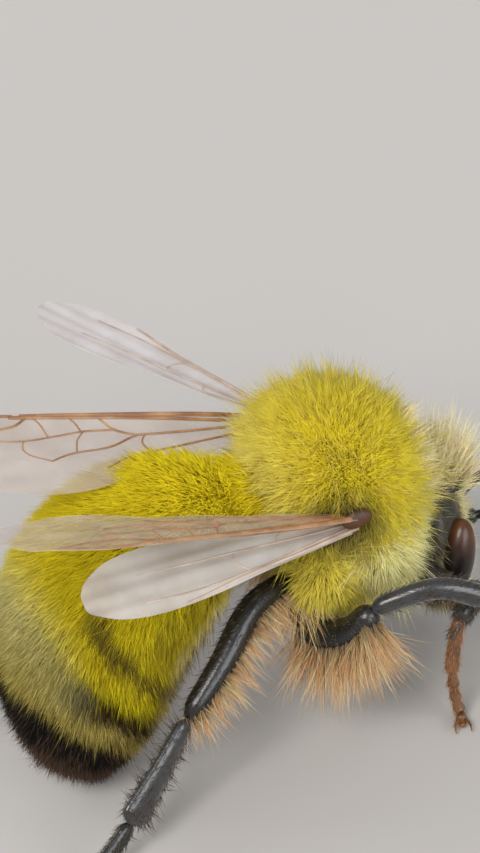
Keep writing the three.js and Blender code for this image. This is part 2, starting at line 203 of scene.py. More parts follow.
@dataclass
class Finish:
    """A material under construction: its node tree, its shader and a few ways to add to them."""

    name: str
    material: Material = field(init=False)

    def __post_init__(self) -> None:
        """Opens a new material with its plain shader."""
        self.material = bpy.data.materials.new(self.name)
        self.material.use_nodes = True
        self.tree = self.material.node_tree
        self.shader = self.tree.nodes["Principled BSDF"]

    def set(self, **values: float | tuple) -> "Finish":
        """Sets the shader's own sockets, named with underscores for spaces."""
        for name, value in values.items():
            self.shader.inputs[name.replace("_", " ")].default_value = value
        return self

    def node(self, kind: str, **settings: object) -> bpy.types.Node:
        """A new node of a kind, with its properties set."""
        made = self.tree.nodes.new("ShaderNode" + kind)
        for name, value in settings.items():
            setattr(made, name, value)
        return made

    def link(self, source: Socket, target: Socket) -> None:
        """Joins two sockets."""
        self.tree.links.new(source, target)

    def place(self) -> Socket:
        """Object coordinates in millimetres."""
        mapping = self.node("Mapping")
        mapping.inputs["Scale"].default_value = (1 / MM,) * 3
        self.link(self.node("TexCoord").outputs["Object"], mapping.inputs["Vector"])
        return mapping.outputs["Vector"]

    def noise(self, scale: float, detail: float = 3.0) -> Socket:
        """Soft noise with about `scale` blots to a millimetre.

        Args:
            scale: how many blots to a millimetre.
            detail: how many finer layers it has.

        Returns:
            A value from 0 to 1.
        """
        texture = self.node("TexNoise")
        texture.inputs["Scale"].default_value = scale
        texture.inputs["Detail"].default_value = detail
        self.link(self.place(), texture.inputs["Vector"])
        return texture.outputs["Fac"]

    def cells(self, scale: float, disorder: float = 1.0, soft: bool = True) -> Socket:
        """A pattern of cells.

        Args:
            scale: how many cells to a millimetre.
            disorder: how far the cells stray from a lattice.
            soft: whether the cells meet softly.

        Returns:
            The distance from the middle of the nearest cell.
        """
        texture = self.node("TexVoronoi", feature="SMOOTH_F1" if soft else "F1")
        texture.inputs["Scale"].default_value = scale
        texture.inputs["Randomness"].default_value = disorder
        self.link(self.place(), texture.inputs["Vector"])
        return texture.outputs["Distance"]

    def graded(self, source: Socket, stops: Sequence[tuple[float, Triple]]) -> Socket:
        """A colour ramp over a value from 0 to 1.

        Args:
            source: a value from 0 to 1.
            stops: the places and colours of its stops.

        Returns:
            The colour.
        """
        made = self.node("ValToRGB")
        elements = made.color_ramp.elements
        while len(elements) < len(stops):
            elements.new(1.0)
        for element, (position, rgb) in zip(elements, stops, strict=True):
            element.position = position
            element.color = (*rgb, 1.0)
        self.link(source, made.inputs["Fac"])
        return made.outputs["Color"]

    def times(self, first: Socket, second: Socket) -> Socket:
        """Two colours multiplied.

        Args:
            first: a colour.
            second: another.

        Returns:
            Their product.
        """
        made = self.node("Mix", data_type="RGBA", blend_type="MULTIPLY")
        made.inputs["Factor"].default_value = 1.0
        self.link(first, made.inputs["A"])
        self.link(second, made.inputs["B"])
        return made.outputs["Result"]

    def ranged(self, source: Socket, low: float, high: float) -> Socket:
        """A value from 0 to 1 brought to run from low to high.

        Args:
            source: the value.
            low: what 0 becomes.
            high: what 1 becomes.

        Returns:
            The new value.
        """
        made = self.node("MapRange")
        made.inputs["To Min"].default_value = low
        made.inputs["To Max"].default_value = high
        self.link(source, made.inputs["Value"])
        return made.outputs["Result"]

    def bumped(self, source: Socket, depth: float, strength: float) -> "Finish":
        """Raises the surface by a pattern, depth millimetres at its highest.

        Args:
            source: the pattern.
            depth: its height in millimetres.
            strength: how much of it shows.

        Returns:
            The finish itself.
        """
        bump = self.node("Bump")
        bump.inputs["Strength"].default_value = strength
        bump.inputs["Distance"].default_value = depth * MM
        self.link(source, bump.inputs["Height"])
        self.link(bump.outputs["Normal"], self.shader.inputs["Normal"])
        return self


@dataclass(frozen=True)
class PileFinish:
    """Hair: the strand's own colour, with painted shade darkening it towards its root, a little noise, and
    the sheen of fine fibres.
    """

    name: str
    # painted shade deep in the coat: how light a hair stays at its root
    root_shade: float = 0.42
    roughness: float = 0.62
    sheen: float = 0.25
    gloss: float = 0.3

    def build(self) -> Material:
        """The finished material."""
        finish = Finish(self.name).set(
            Roughness=self.roughness, Specular_IOR_Level=self.gloss, Sheen_Weight=self.sheen)
        finish.set(Sheen_Roughness=0.5, Sheen_Tint=(1.0, 0.95, 0.75, 1.0))
        colour = finish.node("Attribute", attribute_name="pile").outputs["Color"]
        reach = finish.node("Attribute", attribute_name="reach").outputs["Fac"]
        # painted shade: each hair darkens from its tip down to its root, as if shaded deep in the coat
        low = self.root_shade
        root = (low, low * 0.94, low * 0.75)
        shade = finish.graded(reach, [(0.0, root), (0.5, (0.97,) * 3), (1.0, (1.0,) * 3)])
        patches = finish.graded(finish.noise(1.1, 2.0), [(0.3, (0.9, 0.87, 0.8)), (0.7, (1.0, 1.0, 1.0))])
        finish.link(finish.times(finish.times(colour, shade), patches), finish.shader.inputs["Base Color"])
        return finish.material


@dataclass(frozen=True)
class SkinFinish:
    """The body wall under the coat: the markings of the coat, deep in shade, on pitted shell."""

    name: str = "body_skin"
    pits: float = 14.0  # pits to a millimetre

    def build(self) -> Material:
        """The finished material."""
        finish = Finish(self.name).set(Specular_IOR_Level=0.25, Coat_Weight=0.15, Coat_Roughness=0.1)
        colour = finish.node("Attribute", attribute_name="pile").outputs["Color"]
        blots = finish.graded(finish.noise(2.0), [(0.3, (0.75,) * 3), (0.7, (1.0,) * 3)])
        finish.link(finish.times(colour, blots), finish.shader.inputs["Base Color"])
        finish.link(finish.ranged(finish.noise(5.0), 0.28, 0.5), finish.shader.inputs["Roughness"])
        finish.bumped(finish.cells(self.pits), 0.03, 0.5)
        return finish.material


@dataclass(frozen=True)
class ShellFinish:
    """Polished cuticle of the legs, feelers and jaws, with faint blotches and pits."""

    name: str
    deep: Triple
    light: Triple
    roughness: tuple[float, float] = (0.2, 0.42)
    pits: float = 16.0
    coat: float = 0.3
    sheen: float = 0.0  # a bluish bloom

    def build(self) -> Material:
        """The finished material."""
        finish = Finish(self.name).set(Specular_IOR_Level=0.5, Coat_Weight=self.coat, Coat_Roughness=0.12)
        finish.set(Sheen_Weight=self.sheen, Sheen_Roughness=0.4, Sheen_Tint=(0.75, 0.88, 1.0, 1.0))
        tone = finish.graded(finish.noise(1.6), [(0.35, self.deep), (0.75, self.light)])
        finish.link(tone, finish.shader.inputs["Base Color"])
        finish.link(finish.ranged(finish.noise(4.0), *self.roughness), finish.shader.inputs["Roughness"])
        finish.bumped(finish.cells(self.pits), 0.016, 0.45)
        return finish.material


@dataclass(frozen=True)
class EyeFinish:
    """A compound eye: red-brown in front and above, nearly black low at the rear, with fine raised facets."""

    name: str = "eye_facets"
    way: Triple = (0.7, 0.0, 0.71)  # from its dark end to its light one
    low: float = 5.6  # where its dark end lies that way, in millimetres
    high: float = 7.0
    facets: float = 26.0  # facets to a millimetre
    disorder: float = 0.25  # how far the facets stray from a plain lattice

    def build(self) -> Material:
        """The finished material."""
        finish = Finish(self.name).set(Roughness=0.34, Specular_IOR_Level=0.4)
        finish.set(Coat_Weight=0.2, Coat_Roughness=0.1)
        split = finish.node("VectorMath", operation="DOT_PRODUCT")
        split.inputs[1].default_value = self.way
        finish.link(finish.place(), split.inputs[0])
        height = finish.node("MapRange")
        height.inputs["From Min"].default_value = self.low
        height.inputs["From Max"].default_value = self.high
        finish.link(split.outputs["Value"], height.inputs["Value"])
        tone = finish.graded(height.outputs["Result"], [
            (0.0, (0.006, 0.004, 0.004)), (0.3, (0.014, 0.007, 0.005)),
            (0.6, (0.060, 0.018, 0.007)), (1.0, (0.150, 0.053, 0.012))])
        streaks = finish.graded(finish.noise(1.8), [(0.35, (0.55,) * 3), (0.7, (1.15,) * 3)])
        finish.link(finish.times(tone, streaks), finish.shader.inputs["Base Color"])
        facets = finish.cells(self.facets, self.disorder, soft=False)
        finish.bumped(finish.ranged(facets, 1.0, 0.0), 0.010, 0.35)
        return finish.material


@dataclass(frozen=True)
class MembraneFinish:
    """Wing membrane: thin, slightly smoky, with a faint play of colour and fine wrinkles."""

    name: str
    alpha: float
    smoky: Triple
    pale: Triple

    def build(self) -> Material:
        """The finished material."""
        finish = Finish(self.name).set(Roughness=0.28, Specular_IOR_Level=0.6, Alpha=self.alpha, IOR=1.5)
        finish.set(Thin_Film_Thickness=380.0, Thin_Film_IOR=1.4, Sheen_Weight=0.2)
        tone = finish.graded(finish.noise(0.7), [(0.3, self.smoky), (0.7, self.pale)])
        finish.link(tone, finish.shader.inputs["Base Color"])
        finish.bumped(finish.noise(9.0, 2.0), 0.02, 0.35)
        return finish.material


@dataclass(frozen=True)
class FloorFinish:
    """The plain pale ground of the stage."""

    name: str = "stage_floor"
    tone: Triple = (0.56, 0.54, 0.52)

    def build(self) -> Material:
        """The finished material."""
        finish = Finish(self.name).set(Roughness=0.85, Base_Color=(*self.tone, 1.0), Specular_IOR_Level=0.2)
        return finish.material


def finished(recipe: "PileFinish | SkinFinish | ShellFinish | EyeFinish | MembraneFinish") -> Material:
    """A dataclass field that holds the recipe's finished material."""
    return field(default_factory=recipe.build)


@dataclass
class Wardrobe:
    """Every finish of the bee, made once."""

    mantle: Material = finished(PileFinish("thorax_pile", 0.7))
    banded: Material = finished(PileFinish("abdomen_pile", 0.75, 0.7, 0.0, 0.15))
    bristle: Material = finished(PileFinish("leg_hair", 0.5, 0.5))
    skin: Material = finished(SkinFinish())
    black: Material = finished(ShellFinish("black_shell", (0.006, 0.006, 0.006), (0.016, 0.015, 0.013)))
    # the tibiae: the black shell made a lighter bluish grey with a strong coat and sheen, partly fine
    # pubescence and partly painted sky reflection
    slate: Material = finished(ShellFinish(
        "slate_shell", (0.012, 0.013, 0.014), (0.035, 0.036, 0.037), (0.24, 0.4), coat=0.7, sheen=0.5))
    amber: Material = finished(ShellFinish(
        "amber_shell", (0.085, 0.032, 0.011), (0.24, 0.10, 0.03), (0.3, 0.5)))
    umber: Material = finished(ShellFinish(
        "tegula_shell", (0.030, 0.011, 0.005), (0.11, 0.040, 0.014), (0.42, 0.6), coat=0.0))
    vein: Material = finished(ShellFinish(
        "wing_vein", (0.30, 0.13, 0.055), (0.58, 0.32, 0.15), (0.35, 0.55), 9.0, 0.0))
    pale_vein: Material = finished(ShellFinish(
        "hindwing_vein", (0.42, 0.30, 0.22), (0.66, 0.54, 0.45), (0.4, 0.6), 9.0, 0.0))
    eye: Material = finished(EyeFinish())
    front_film: Material = finished(MembraneFinish(
        "forewing_film", 0.32, (0.54, 0.40, 0.29), (0.80, 0.69, 0.58)))
    rear_film: Material = finished(MembraneFinish(
        "hindwing_film", 0.48, (0.60, 0.53, 0.50), (0.82, 0.78, 0.77)))


# ---- the bench

class Bench:
    """Workbench operators that act on one piece at a time."""

    @staticmethod
    def clear() -> None:
        """Leaves nothing selected."""
        bpy.ops.object.select_all(action="DESELECT")

    @staticmethod
    def take(*pieces: Piece) -> None:
        """Selects these pieces and makes the first one active."""
        Bench.clear()
        for piece in pieces:
            piece.select_set(True)
        bpy.context.view_layer.objects.active = pieces[0]

    @staticmethod
    def join(pieces: Sequence[Piece], name: str) -> Piece:
        """Several pieces made one, under a new name.

        Args:
            pieces: what is joined.
            name: the name of the whole.

        Returns:
            The whole.
        """
        Bench.take(*pieces)
        if len(pieces) > 1:
            bpy.ops.object.join()
        pieces[0].name = name
        return pieces[0]

    @staticmethod
    def apply(piece: Piece, kind: str, **settings: object) -> None:
        """Adds a modifier of a kind with its settings and applies it.

        Args:
            piece: what it changes.
            kind: the kind of modifier.
            settings: its properties.
        """
        modifier = piece.modifiers.new(kind.lower(), kind)
        for name, value in settings.items():
            setattr(modifier, name, value)
        Bench.take(piece)
        bpy.ops.object.modifier_apply(modifier=modifier.name)

    @staticmethod
    def put(name: str, data: bpy.types.ID) -> Piece:
        """A new object in the scene that holds the data.

        Args:
            name: its name.
            data: the mesh, curve, light or camera.

        Returns:
            The object.
        """
        made = bpy.data.objects.new(name, data)
        bpy.context.scene.collection.objects.link(made)
        return made

    @staticmethod
    def edit(piece: Piece) -> None:
        """Opens a piece in edit mode with all of it selected."""
        Bench.take(piece)
        bpy.ops.object.mode_set(mode="EDIT")
        bpy.ops.mesh.select_all(action="SELECT")

    @staticmethod
    def close() -> None:
        """Turns all faces outwards and leaves edit mode."""
        bpy.ops.mesh.select_all(action="SELECT")
        bpy.ops.mesh.normals_make_consistent(inside=False)
        bpy.ops.object.mode_set(mode="OBJECT")

    @staticmethod
    def ball(name: str, centre: Triple, half: Triple, segments: int = 32, rings: int = 20) -> Piece:
        """A rounded body at its place and size.

        Args:
            name: its name.
            centre: its middle.
            half: its half sizes.
            segments: its faces round.
            rings: its faces from pole to pole.

        Returns:
            The new piece.
        """
        Bench.clear()
        bpy.ops.mesh.primitive_uv_sphere_add(segments=segments, ring_count=rings, radius=1.0)
        made = bpy.context.object
        made.name = name
        Bench.edit(made)
        bpy.ops.transform.resize(value=tuple(half), center_override=(0, 0, 0))
        bpy.ops.transform.translate(value=tuple(centre))
        bpy.ops.object.mode_set(mode="OBJECT")
        return made

    @staticmethod
    def move(piece: Piece, change: Callable[[Points], Points]) -> None:
        """Moves a piece's points by a rule."""
        places = Bench.points(piece)
        piece.data.vertices.foreach_set("co", change(places).astype(np.float32).ravel())
        piece.data.update()

    @staticmethod
    def points(piece: Piece) -> Points:
        """A piece's points, one row each."""
        places = np.empty(len(piece.data.vertices) * 3, np.float32)
        piece.data.vertices.foreach_get("co", places)
        return places.reshape(-1, 3).astype(float)

    @staticmethod
    def triangles(piece: Piece) -> Points:
        """A piece's triangles in an order that is the same each run.

        The sphere and extrude operators list the faces in any order, so each face is turned to start at its
        lowest corner and fanned out, and all the triangles are sorted.

        Args:
            piece: the piece.

        Returns:
            The numbers of the three corners of each triangle.
        """
        fans = []
        for face in piece.data.polygons:
            corners = list(face.vertices)
            start = corners.index(min(corners))
            first, *rest = corners[start:] + corners[:start]
            fans += [(first, *edge) for edge in zip(rest[:-1], rest[1:], strict=True)]
        return np.array(sorted(fans))

    @staticmethod
    def tree(piece: Piece) -> BVHTree:
        """A piece's faces, ready for finding what a hair meets."""
        faces = [tuple(face.vertices) for face in piece.data.polygons]
        return BVHTree.FromPolygons(Bench.points(piece).tolist(), faces)

    @staticmethod
    def twin(piece: Piece, shift: float = 0.0) -> Piece:
        """A right piece's mirrored copy on the bee's left, moved back by shift, with its own mesh.

        Args:
            piece: the right piece.
            shift: how far back the left one stands.

        Returns:
            The left piece, with its own mesh.
        """
        Bench.take(piece)
        bpy.ops.object.duplicate()
        made = bpy.context.object
        made.name = piece.name.replace("right", "left")
        Bench.edit(made)
        bpy.ops.transform.resize(value=(1, -1, 1), center_override=(0, 0, 0))
        bpy.ops.transform.translate(value=(-shift, 0, 0))
        Bench.close()
        return made


def settle(
    piece: Piece,
    material: Material,
    replaces: Sequence[str] = (),
    smooth: float = 60.0,
) -> Piece:
    """Brings a finished piece to metres and to the solids' place, dresses it and hides the CAD nodes that it
    stands for.

    Args:
        piece: the piece in millimetres in the bee's own frame.
        material: its material.
        replaces: the CAD nodes that it stands for.
        smooth: edges under this angle in degrees are shaded smooth.

    Returns:
        The same piece, ready.
    """
    low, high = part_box("thorax")
    home = (np.array(low) + np.array(high)) / 2
    Bench.move(piece, lambda places: (places - THORAX_AT) * MM + home)
    piece.data.materials.clear()
    piece.data.materials.append(material)
    if smooth:
        Bench.take(piece)
        bpy.ops.object.shade_smooth_by_angle(angle=math.radians(smooth))
    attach(piece, BODY)
    if replaces:
        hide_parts(*replaces)
    log.info("%s: %d faces", piece.name, len(piece.data.polygons))
    return piece


class Twist(Enum):
    """How a limb's cross-section turns along its line."""

    UPRIGHT = "Z_UP"
    LEAST = "MINIMUM"


@dataclass
class Limb:
    """A stretch of leg, feeler or body: turned straight, ring by ring, then bent to its line.

    section gives the half width and half thickness at s, from 0 at the start to 1 at the end.
    """

    line: Points
    section: Callable[[float], tuple[float, float]]
    sides: int = 14
    steps: int = 12
    twist: Twist = Twist.UPRIGHT
    crowding: float = 0.6  # how far the rings crowd towards the two ends

    def stations(self) -> Points:
        """Where the rings stand, as parts of the length."""
        even = np.linspace(0, 1, self.steps + 1)
        return even * (1 - self.crowding) + self.crowding * (0.5 - 0.5 * np.cos(np.pi * even))

    def build(self, name: str) -> Piece:
        """Makes the limb.

        Args:
            name: the new piece's name.

        Returns:
            The piece, closed at both ends.
        """
        length = float(np.linalg.norm(np.diff(self.line, axis=0), axis=1).sum())
        Bench.clear()
        bpy.ops.mesh.primitive_circle_add(
            vertices=self.sides, radius=1.0, fill_type="NGON", rotation=(0, math.pi / 2, 0))
        limb = bpy.context.object
        limb.name = name
        bpy.ops.object.transform_apply(rotation=True)
        Bench.edit(limb)
        wide, thick = self.section(0.0)
        bpy.ops.transform.resize(value=(1, wide, thick), center_override=(0, 0, 0))
        stops = self.stations()
        for before, here in zip(stops[:-1], stops[1:], strict=True):
            advance = ((here - before) * length, 0, 0)
            bpy.ops.mesh.extrude_region_move(TRANSFORM_OT_translate={"value": advance})
            new_wide, new_thick = self.section(float(here))
            bpy.ops.transform.resize(
                value=(1, new_wide / wide, new_thick / thick), center_override=(here * length, 0, 0))
            wide, thick = new_wide, new_thick
        Bench.close()
        self.bend(limb)
        return limb

    def bend(self, limb: Piece) -> None:
        """Bends the straight stock along the line."""
        curve = bpy.data.curves.new("line", "CURVE")
        curve.dimensions = "3D"
        curve.twist_mode = self.twist.value
        spline = curve.splines.new("POLY")
        spline.points.add(len(self.line) - 1)
        for point, place in zip(spline.points, self.line, strict=True):
            point.co = (*place, 1.0)
        guide = Bench.put("line", curve)
        Bench.apply(limb, "CURVE", object=guide, deform_axis="POS_X")
        bpy.data.objects.remove(guide)
        bpy.data.curves.remove(curve)


def rounded(s: float, cap: float, least: float = 0.12) -> float:
    """How far a rounded end narrows a limb at s, over the stretch cap at each end."""
    inside = max(0.0, 1.0 - min(s, 1.0 - s) / cap)
    return math.sqrt(max(least, 1.0 - inside * inside))


# ---- outline of the animal

@dataclass(frozen=True)
class Pod:
    """A rounded solid: an ellipsoid made fuller by its squareness, leaned if it is part of the head."""

    centre: Triple
    half: Triple
    squareness: float = 2.0
    lean: float = 0.0

    def depth(self, points: Points) -> Points:
        """How far out points lie: under 1 is inside and 1 is the surface."""
        local = points if not self.lean else leaned(points, -self.lean)
        ratio = np.abs(local - np.array(self.centre)) / np.array(self.half)
        return (ratio ** self.squareness).sum(-1) ** (1 / self.squareness)


@dataclass(frozen=True)
class Abdomen:
    """The abdomen, a curled body round a centre line, with its joints and its coat's depth."""

    line: tuple[Triple, ...] = (
        (-2.55, 0, 6.4), (-4.5, 0, 6.2), (-6.4, 0, 5.2), (-7.35, 0, 3.15), (-7.7, 0, 1.3), (-7.65, 0, 0.2))
    girth: tuple[float, ...] = (1.5, 2.6, 2.9, 2.6, 1.8, 0.55)
    flatten: float = 0.95
    joints: tuple[float, ...] = (0.2, 0.38, 0.54, 0.68, 0.81)
    stations: int = 80
    batch: int = 20000  # how many places are charted at a time
    tile: float = 0.07  # how far a ring's rear edge stands over the next ring

    def spine(self) -> tuple[Points, Points, Points]:
        """Even stations of the centre line: their t, their places and their outline's half widths."""
        t = np.linspace(0, 1, self.stations)
        girth = SmoothLine([(i, r, 0) for i, r in enumerate(self.girth)]).at(t)[:, 1]
        return t, SmoothLine(self.line).at(t), girth

    def chart(self, points: Points) -> tuple[Points, Points, Points]:
        """Where points lie on the abdomen.

        Args:
            points: places near it.

        Returns:
            t along it, the angle round it with 0 at the top, and how far out they lie, 1 at the outline.
        """
        t, spine, girth = self.spine()
        tangent = unit(np.gradient(spine, axis=0))
        near = np.empty(len(points), int)
        for start in range(0, len(points), self.batch):
            batch = slice(start, start + self.batch)
            flat = points[batch, None, ::2] - spine[None, :, ::2]
            near[batch] = (flat ** 2).sum(-1).argmin(1)
        offset = points - spine[near]
        up = np.stack([tangent[near, 2], 0 * t[near], -tangent[near, 0]], -1)
        high = (offset * up).sum(-1) / self.flatten
        out = np.hypot(high, offset[:, 1]) / girth[near]
        ahead = (offset * tangent[near]).sum(-1)
        return t[near], np.arctan2(offset[:, 1], high), np.hypot(out, ahead / girth[near])

    def along(self, t: Points) -> Points:
        """The direction towards the tip at t."""
        line = SmoothLine(self.line)
        return unit(line.at(np.clip(t + 0.01, 0, 1)) - line.at(np.clip(t - 0.01, 0, 1)))

    def core(self, depth: float) -> Piece:
        """The body wall, its rings stepped a little like tiles, depth inside the outline.

        Args:
            depth: how far inside the outline it lies.

        Returns:
            The wall.
        """
        t, spine, girth = self.spine()
        run = np.concatenate([[0], np.cumsum(np.linalg.norm(np.diff(spine, axis=0), axis=1))])
        run /= run[-1]

        def section(s: float) -> tuple[float, float]:
            """Half width and half thickness at s."""
            here = float(np.interp(s, run, t))
            start = max([0.0, *(j for j in self.joints if j <= here)])
            step = self.tile * min(1.0, (here - start) / 0.14)
            radius = max(0.25, (float(np.interp(here, t, girth)) - depth) * rounded(s, 0.06, 0.2) + step)
            return radius, radius * self.flatten

        return Limb(spine, section, sides=40, steps=60, crowding=0.2).build("abdomen_core")


@dataclass(frozen=True)
class Head:
    """The head: its capsule, face plates and the rims of the eyes."""

    eye_lean: float = 0.1
    capsule: Pod = Pod((2.12, 0, 3.52), (0.70, 1.50, 1.64), 2.3, HEAD_PITCH)
    # the middle and the half sizes of each plate on the capsule
    plates: tuple[tuple[Triple, Triple], ...] = (
        ((2.62, 0.0, 2.85), (0.40, 0.66, 0.66)),  # clypeus
        ((2.60, 0.0, 2.05), (0.30, 0.50, 0.36)),  # labrum
        ((2.74, 0.0, 3.75), (0.22, 0.50, 0.62)),  # brow between the feelers
        ((2.40, 0.0, 4.95), (0.48, 0.85, 0.28)),  # crown that carries the ocelli
        ((2.36, 0.80, 2.10), (0.44, 0.40, 0.52)),  # cheeks above the jaws
        ((2.36, -0.80, 2.10), (0.44, 0.40, 0.52)),
        ((1.84, 1.12, 3.25), (0.44, 0.44, 1.42)),  # walls behind the eyes
        ((1.84, -1.12, 3.25), (0.44, 0.44, 1.42)),
    )

    def cores(self) -> list[Piece]:
        """The solids whose union is the head's wall."""
        pods = [(self.capsule.centre, self.capsule.half), *self.plates]
        made = [Bench.ball(f"head_core_{i}", centre, half) for i, (centre, half) in enumerate(pods)]
        for piece in made:
            Bench.move(piece, lambda places: leaned(places, HEAD_PITCH))
        return made

    def eye(self) -> Piece:
        """The right compound eye, set into its socket."""
        piece = Bench.ball("eye_right", (2.35, -1.38, 3.3), (0.46, 0.48, 1.1), 48, 32)
        Bench.move(piece, lambda places: leaned(places, HEAD_PITCH + self.eye_lean))
        return piece

    def ocelli(self) -> Piece:
        """Three small simple eyes in a low triangle on the crown."""
        places = [(2.68, 0.0, 5.03), (2.50, 0.33, 5.16), (2.50, -0.33, 5.16)]
        beads = [Bench.ball("ocellus", place, (0.12, 0.12, 0.11), 20, 12) for place in places]
        piece = Bench.join(beads, "ocelli")
        Bench.move(piece, lambda spots: leaned(spots, HEAD_PITCH))
        return piece

    def mandible(self) -> Piece:
        """The right jaw, broad at its hinge and curving in to a blunt edge."""
        line = SmoothLine([(2.20, -0.62, 1.75), (2.40, -0.60, 1.15), (2.38, -0.22, 0.74)]).even(16)

        def section(s: float) -> tuple[float, float]:
            """Half width and half thickness at s."""
            taper = rounded(s, 0.2)
            return 0.27 * taper * (1 - 0.25 * math.sin(math.pi * s)), 0.17 * taper * (1 - 0.3 * s)

        return Limb(line, section, 18, 18, Twist.LEAST).build("mandible_right")

    def feeler(self) -> tuple[Piece, Piece]:
        """The right antenna: the long first joint with its socket ring, and the beaded rest."""
        scape_line = SmoothLine(
            [(2.80, -0.34, 3.66), (3.05, -0.4, 3.7), (3.69, -0.74, 3.8), (4.2, -1.0, 3.8)]).even(20)
        scape = Limb(scape_line, lambda s: ((0.105 + 0.03 * s) * rounded(s, 0.08),) * 2, 14, 14, Twist.LEAST)
        socket = Limb(scape_line[4:8], lambda s: (0.2 * rounded(s, 0.5, 0.3),) * 2, 16, 6, Twist.LEAST)
        first = Bench.join([scape.build("scape"), socket.build("socket")], "antenna_scape_right")
        whip_line = SmoothLine([(4.2, -1.0, 3.8), (5.15, -1.35, 3.1), (5.55, -1.6, 1.85)]).even(40)
        joints = 11

        def section(s: float) -> tuple[float, float]:
            """Half width and half thickness at s."""
            beat = (s * joints) % 1.0
            waist = 0.8 + 0.2 * min(1.0, min(beat, 1 - beat) / 0.16)
            radius = (0.13 - 0.02 * abs(2 * s - 1) ** 3) * waist * rounded(s, 0.03)
            return radius, radius

        whip = Limb(whip_line, section, 14, joints * 6, Twist.LEAST, 0.0).build("antenna_flagellum_right")
        return first, whip


# middles of the two swellings on each side of the thorax, over the roots of the middle legs
LOBES = ((0.25, 1.42, 4.62), (-1.15, 1.35, 4.48))


class Region(Enum):
    """The three stretches of the body wall."""

    THORAX = 0
    ABDOMEN = 1
    HEAD = 2


@dataclass
class Outline:
    """The outline of the animal out to the tips of its dense coat, and the wings that the hair keeps off."""

    thorax: Pod = Pod((-0.15, 0.0, 6.1), (2.625, 2.9, 2.875), 2.35)
    skull: Pod = Pod((2.2, 0, 3.5), (0.85, 1.65, 1.75), 2.4, HEAD_PITCH)
    crest: Pod = Pod((2.85, 0, 5.3), (1.05, 1.2, 1.05))
    muzzle: Pod = Pod((2.45, 0, 1.95), (0.72, 0.95, 0.72), 2.3, HEAD_PITCH)
    abdomen: Abdomen = field(default_factory=Abdomen)
    wings: list["Wing"] = field(default_factory=list)
    march: int = 18  # in how many steps a hair's room is felt out

    def holds(self, points: Points, region: Region) -> Points:
        """Whether points lie inside the part of the outline that a region's hair may fill.

        Args:
            points: the places.
            region: whose hair it is.

        Returns:
            True where the hair may be.
        """
        if region is Region.ABDOMEN:
            inside = self.abdomen.chart(points)[2] < 1
        else:
            inside = self.thorax.depth(points) < 1
            for pod in (self.skull, self.crest, self.muzzle):
                inside |= pod.depth(points) < 1
        for wing in self.wings:
            inside &= ~wing.covers(points)
        return inside

    def reach(self, roots: Points, directions: Points, longest: float, region: Region) -> Points:
        """How far each hair can go from its root before it leaves the outline, up to longest.

        Args:
            roots: where they grow.
            directions: which way.
            longest: the most that any may have.
            region: whose hair it is.

        Returns:
            The room of each hair.
        """
        free = np.zeros(len(roots))
        going = np.ones(len(roots), bool)
        for step in range(1, self.march + 1):
            far = longest * step / self.march
            going[going] = self.holds(roots[going] + directions[going] * far, region)
            free[going] = far
        return free


# ---- wings

def bezier(p0: Sequence[float], p1: Sequence[float], p2: Sequence[float], p3: Sequence[float]) -> Points:
    """Forty places along a cubic stretch of outline."""
    t = np.linspace(0, 1, 40)[:, None]
    a, b, c, d = (np.array(p, float) for p in (p0, p1, p2, p3))
    return a * (1 - t) ** 3 + 3 * b * t * (1 - t) ** 2 + 3 * c * t ** 2 * (1 - t) + d * t ** 3


@dataclass(frozen=True)
class WingPlan:
    """A wing laid flat: x from root to tip and y towards the leading edge, as parts of length and chord."""

    length: float
    chord: float
    root: Triple
    lead: Points
    trail: Points
    veins: tuple[tuple[float, float, tuple[tuple[float, float], ...]], ...]

    def edges(self, x: Points) -> tuple[Points, Points]:
        """The trailing and leading edges' y at x."""
        order = np.argsort(self.trail[:, 0])
        trail = np.interp(x, self.trail[order, 0], self.trail[order, 1])
        return trail, np.interp(x, self.lead[:, 0], self.lead[:, 1])


FOREWING = WingPlan(
    length=10.4,
    chord=3.7,
    root=(-0.5, 2.4, 6.3),
    lead=np.vstack([
        bezier((0, .1), (.2, .2), (.5, .25), (.74, .26)),
        bezier((.74, .26), (.92, .27), (1, .1), (1, -.12))]),
    trail=np.vstack([
        bezier((1, -.12), (1, -.45), (.86, -.7), (.68, -.73)),
        bezier((.68, -.73), (.5, -.76), (.34, -.42), (0, -.08))]),
    # each vein: radius at its root, radius at its end, and its course
    veins=(
        (0.105, 0.070, ((-.03, .03), (.1, .12), (.3, .175), (.5, .212), (.64, .225))),  # leading edge
        (0.070, 0.060, ((-.02, .0), (.15, .085), (.32, .135), (.5, .178), (.6, .2))),  # radius
        (0.085, 0.060, ((.6, .2), (.63, .205), (.67, .21))),  # wing mark
        (0.055, 0.030, ((.66, .225), (.76, .235), (.86, .2), (.905, .13))),  # long cell
        (0.050, 0.030, ((.63, .19), (.68, .09), (.78, .06), (.87, .09), (.905, .13))),  # its lower side
        (0.060, 0.045, ((-.02, -.02), (.12, -.01), (.26, -.035), (.37, -.05))),  # median stem
        (0.045, 0.040, ((.37, -.05), (.42, .04), (.445, .145))),  # basal vein
        (0.040, 0.032, ((.42, .035), (.5, .03), (.585, -.02), (.67, -.07), (.74, -.05))),  # under three cells
        (0.036, 0.034, ((.52, .18), (.51, .09), (.505, .03))),
        (0.036, 0.034, ((.61, .19), (.6, .08), (.595, -.02))),
        (0.036, 0.030, ((.705, .075), (.73, .02), (.74, -.05))),
        (0.045, 0.032, ((.37, -.05), (.46, -.19), (.56, -.25), (.63, -.37))),  # cubital
        (0.034, 0.032, ((.5, .03), (.53, -.09), (.55, -.245))),
        (0.034, 0.028, ((.665, -.07), (.68, -.2), (.63, -.37))),
        (0.052, 0.034, ((-.02, -.045), (.15, -.12), (.32, -.24), (.44, -.37), (.5, -.47))),  # anal
        (0.036, 0.034, ((.35, -.05), (.37, -.15), (.36, -.275))),
    ),
)

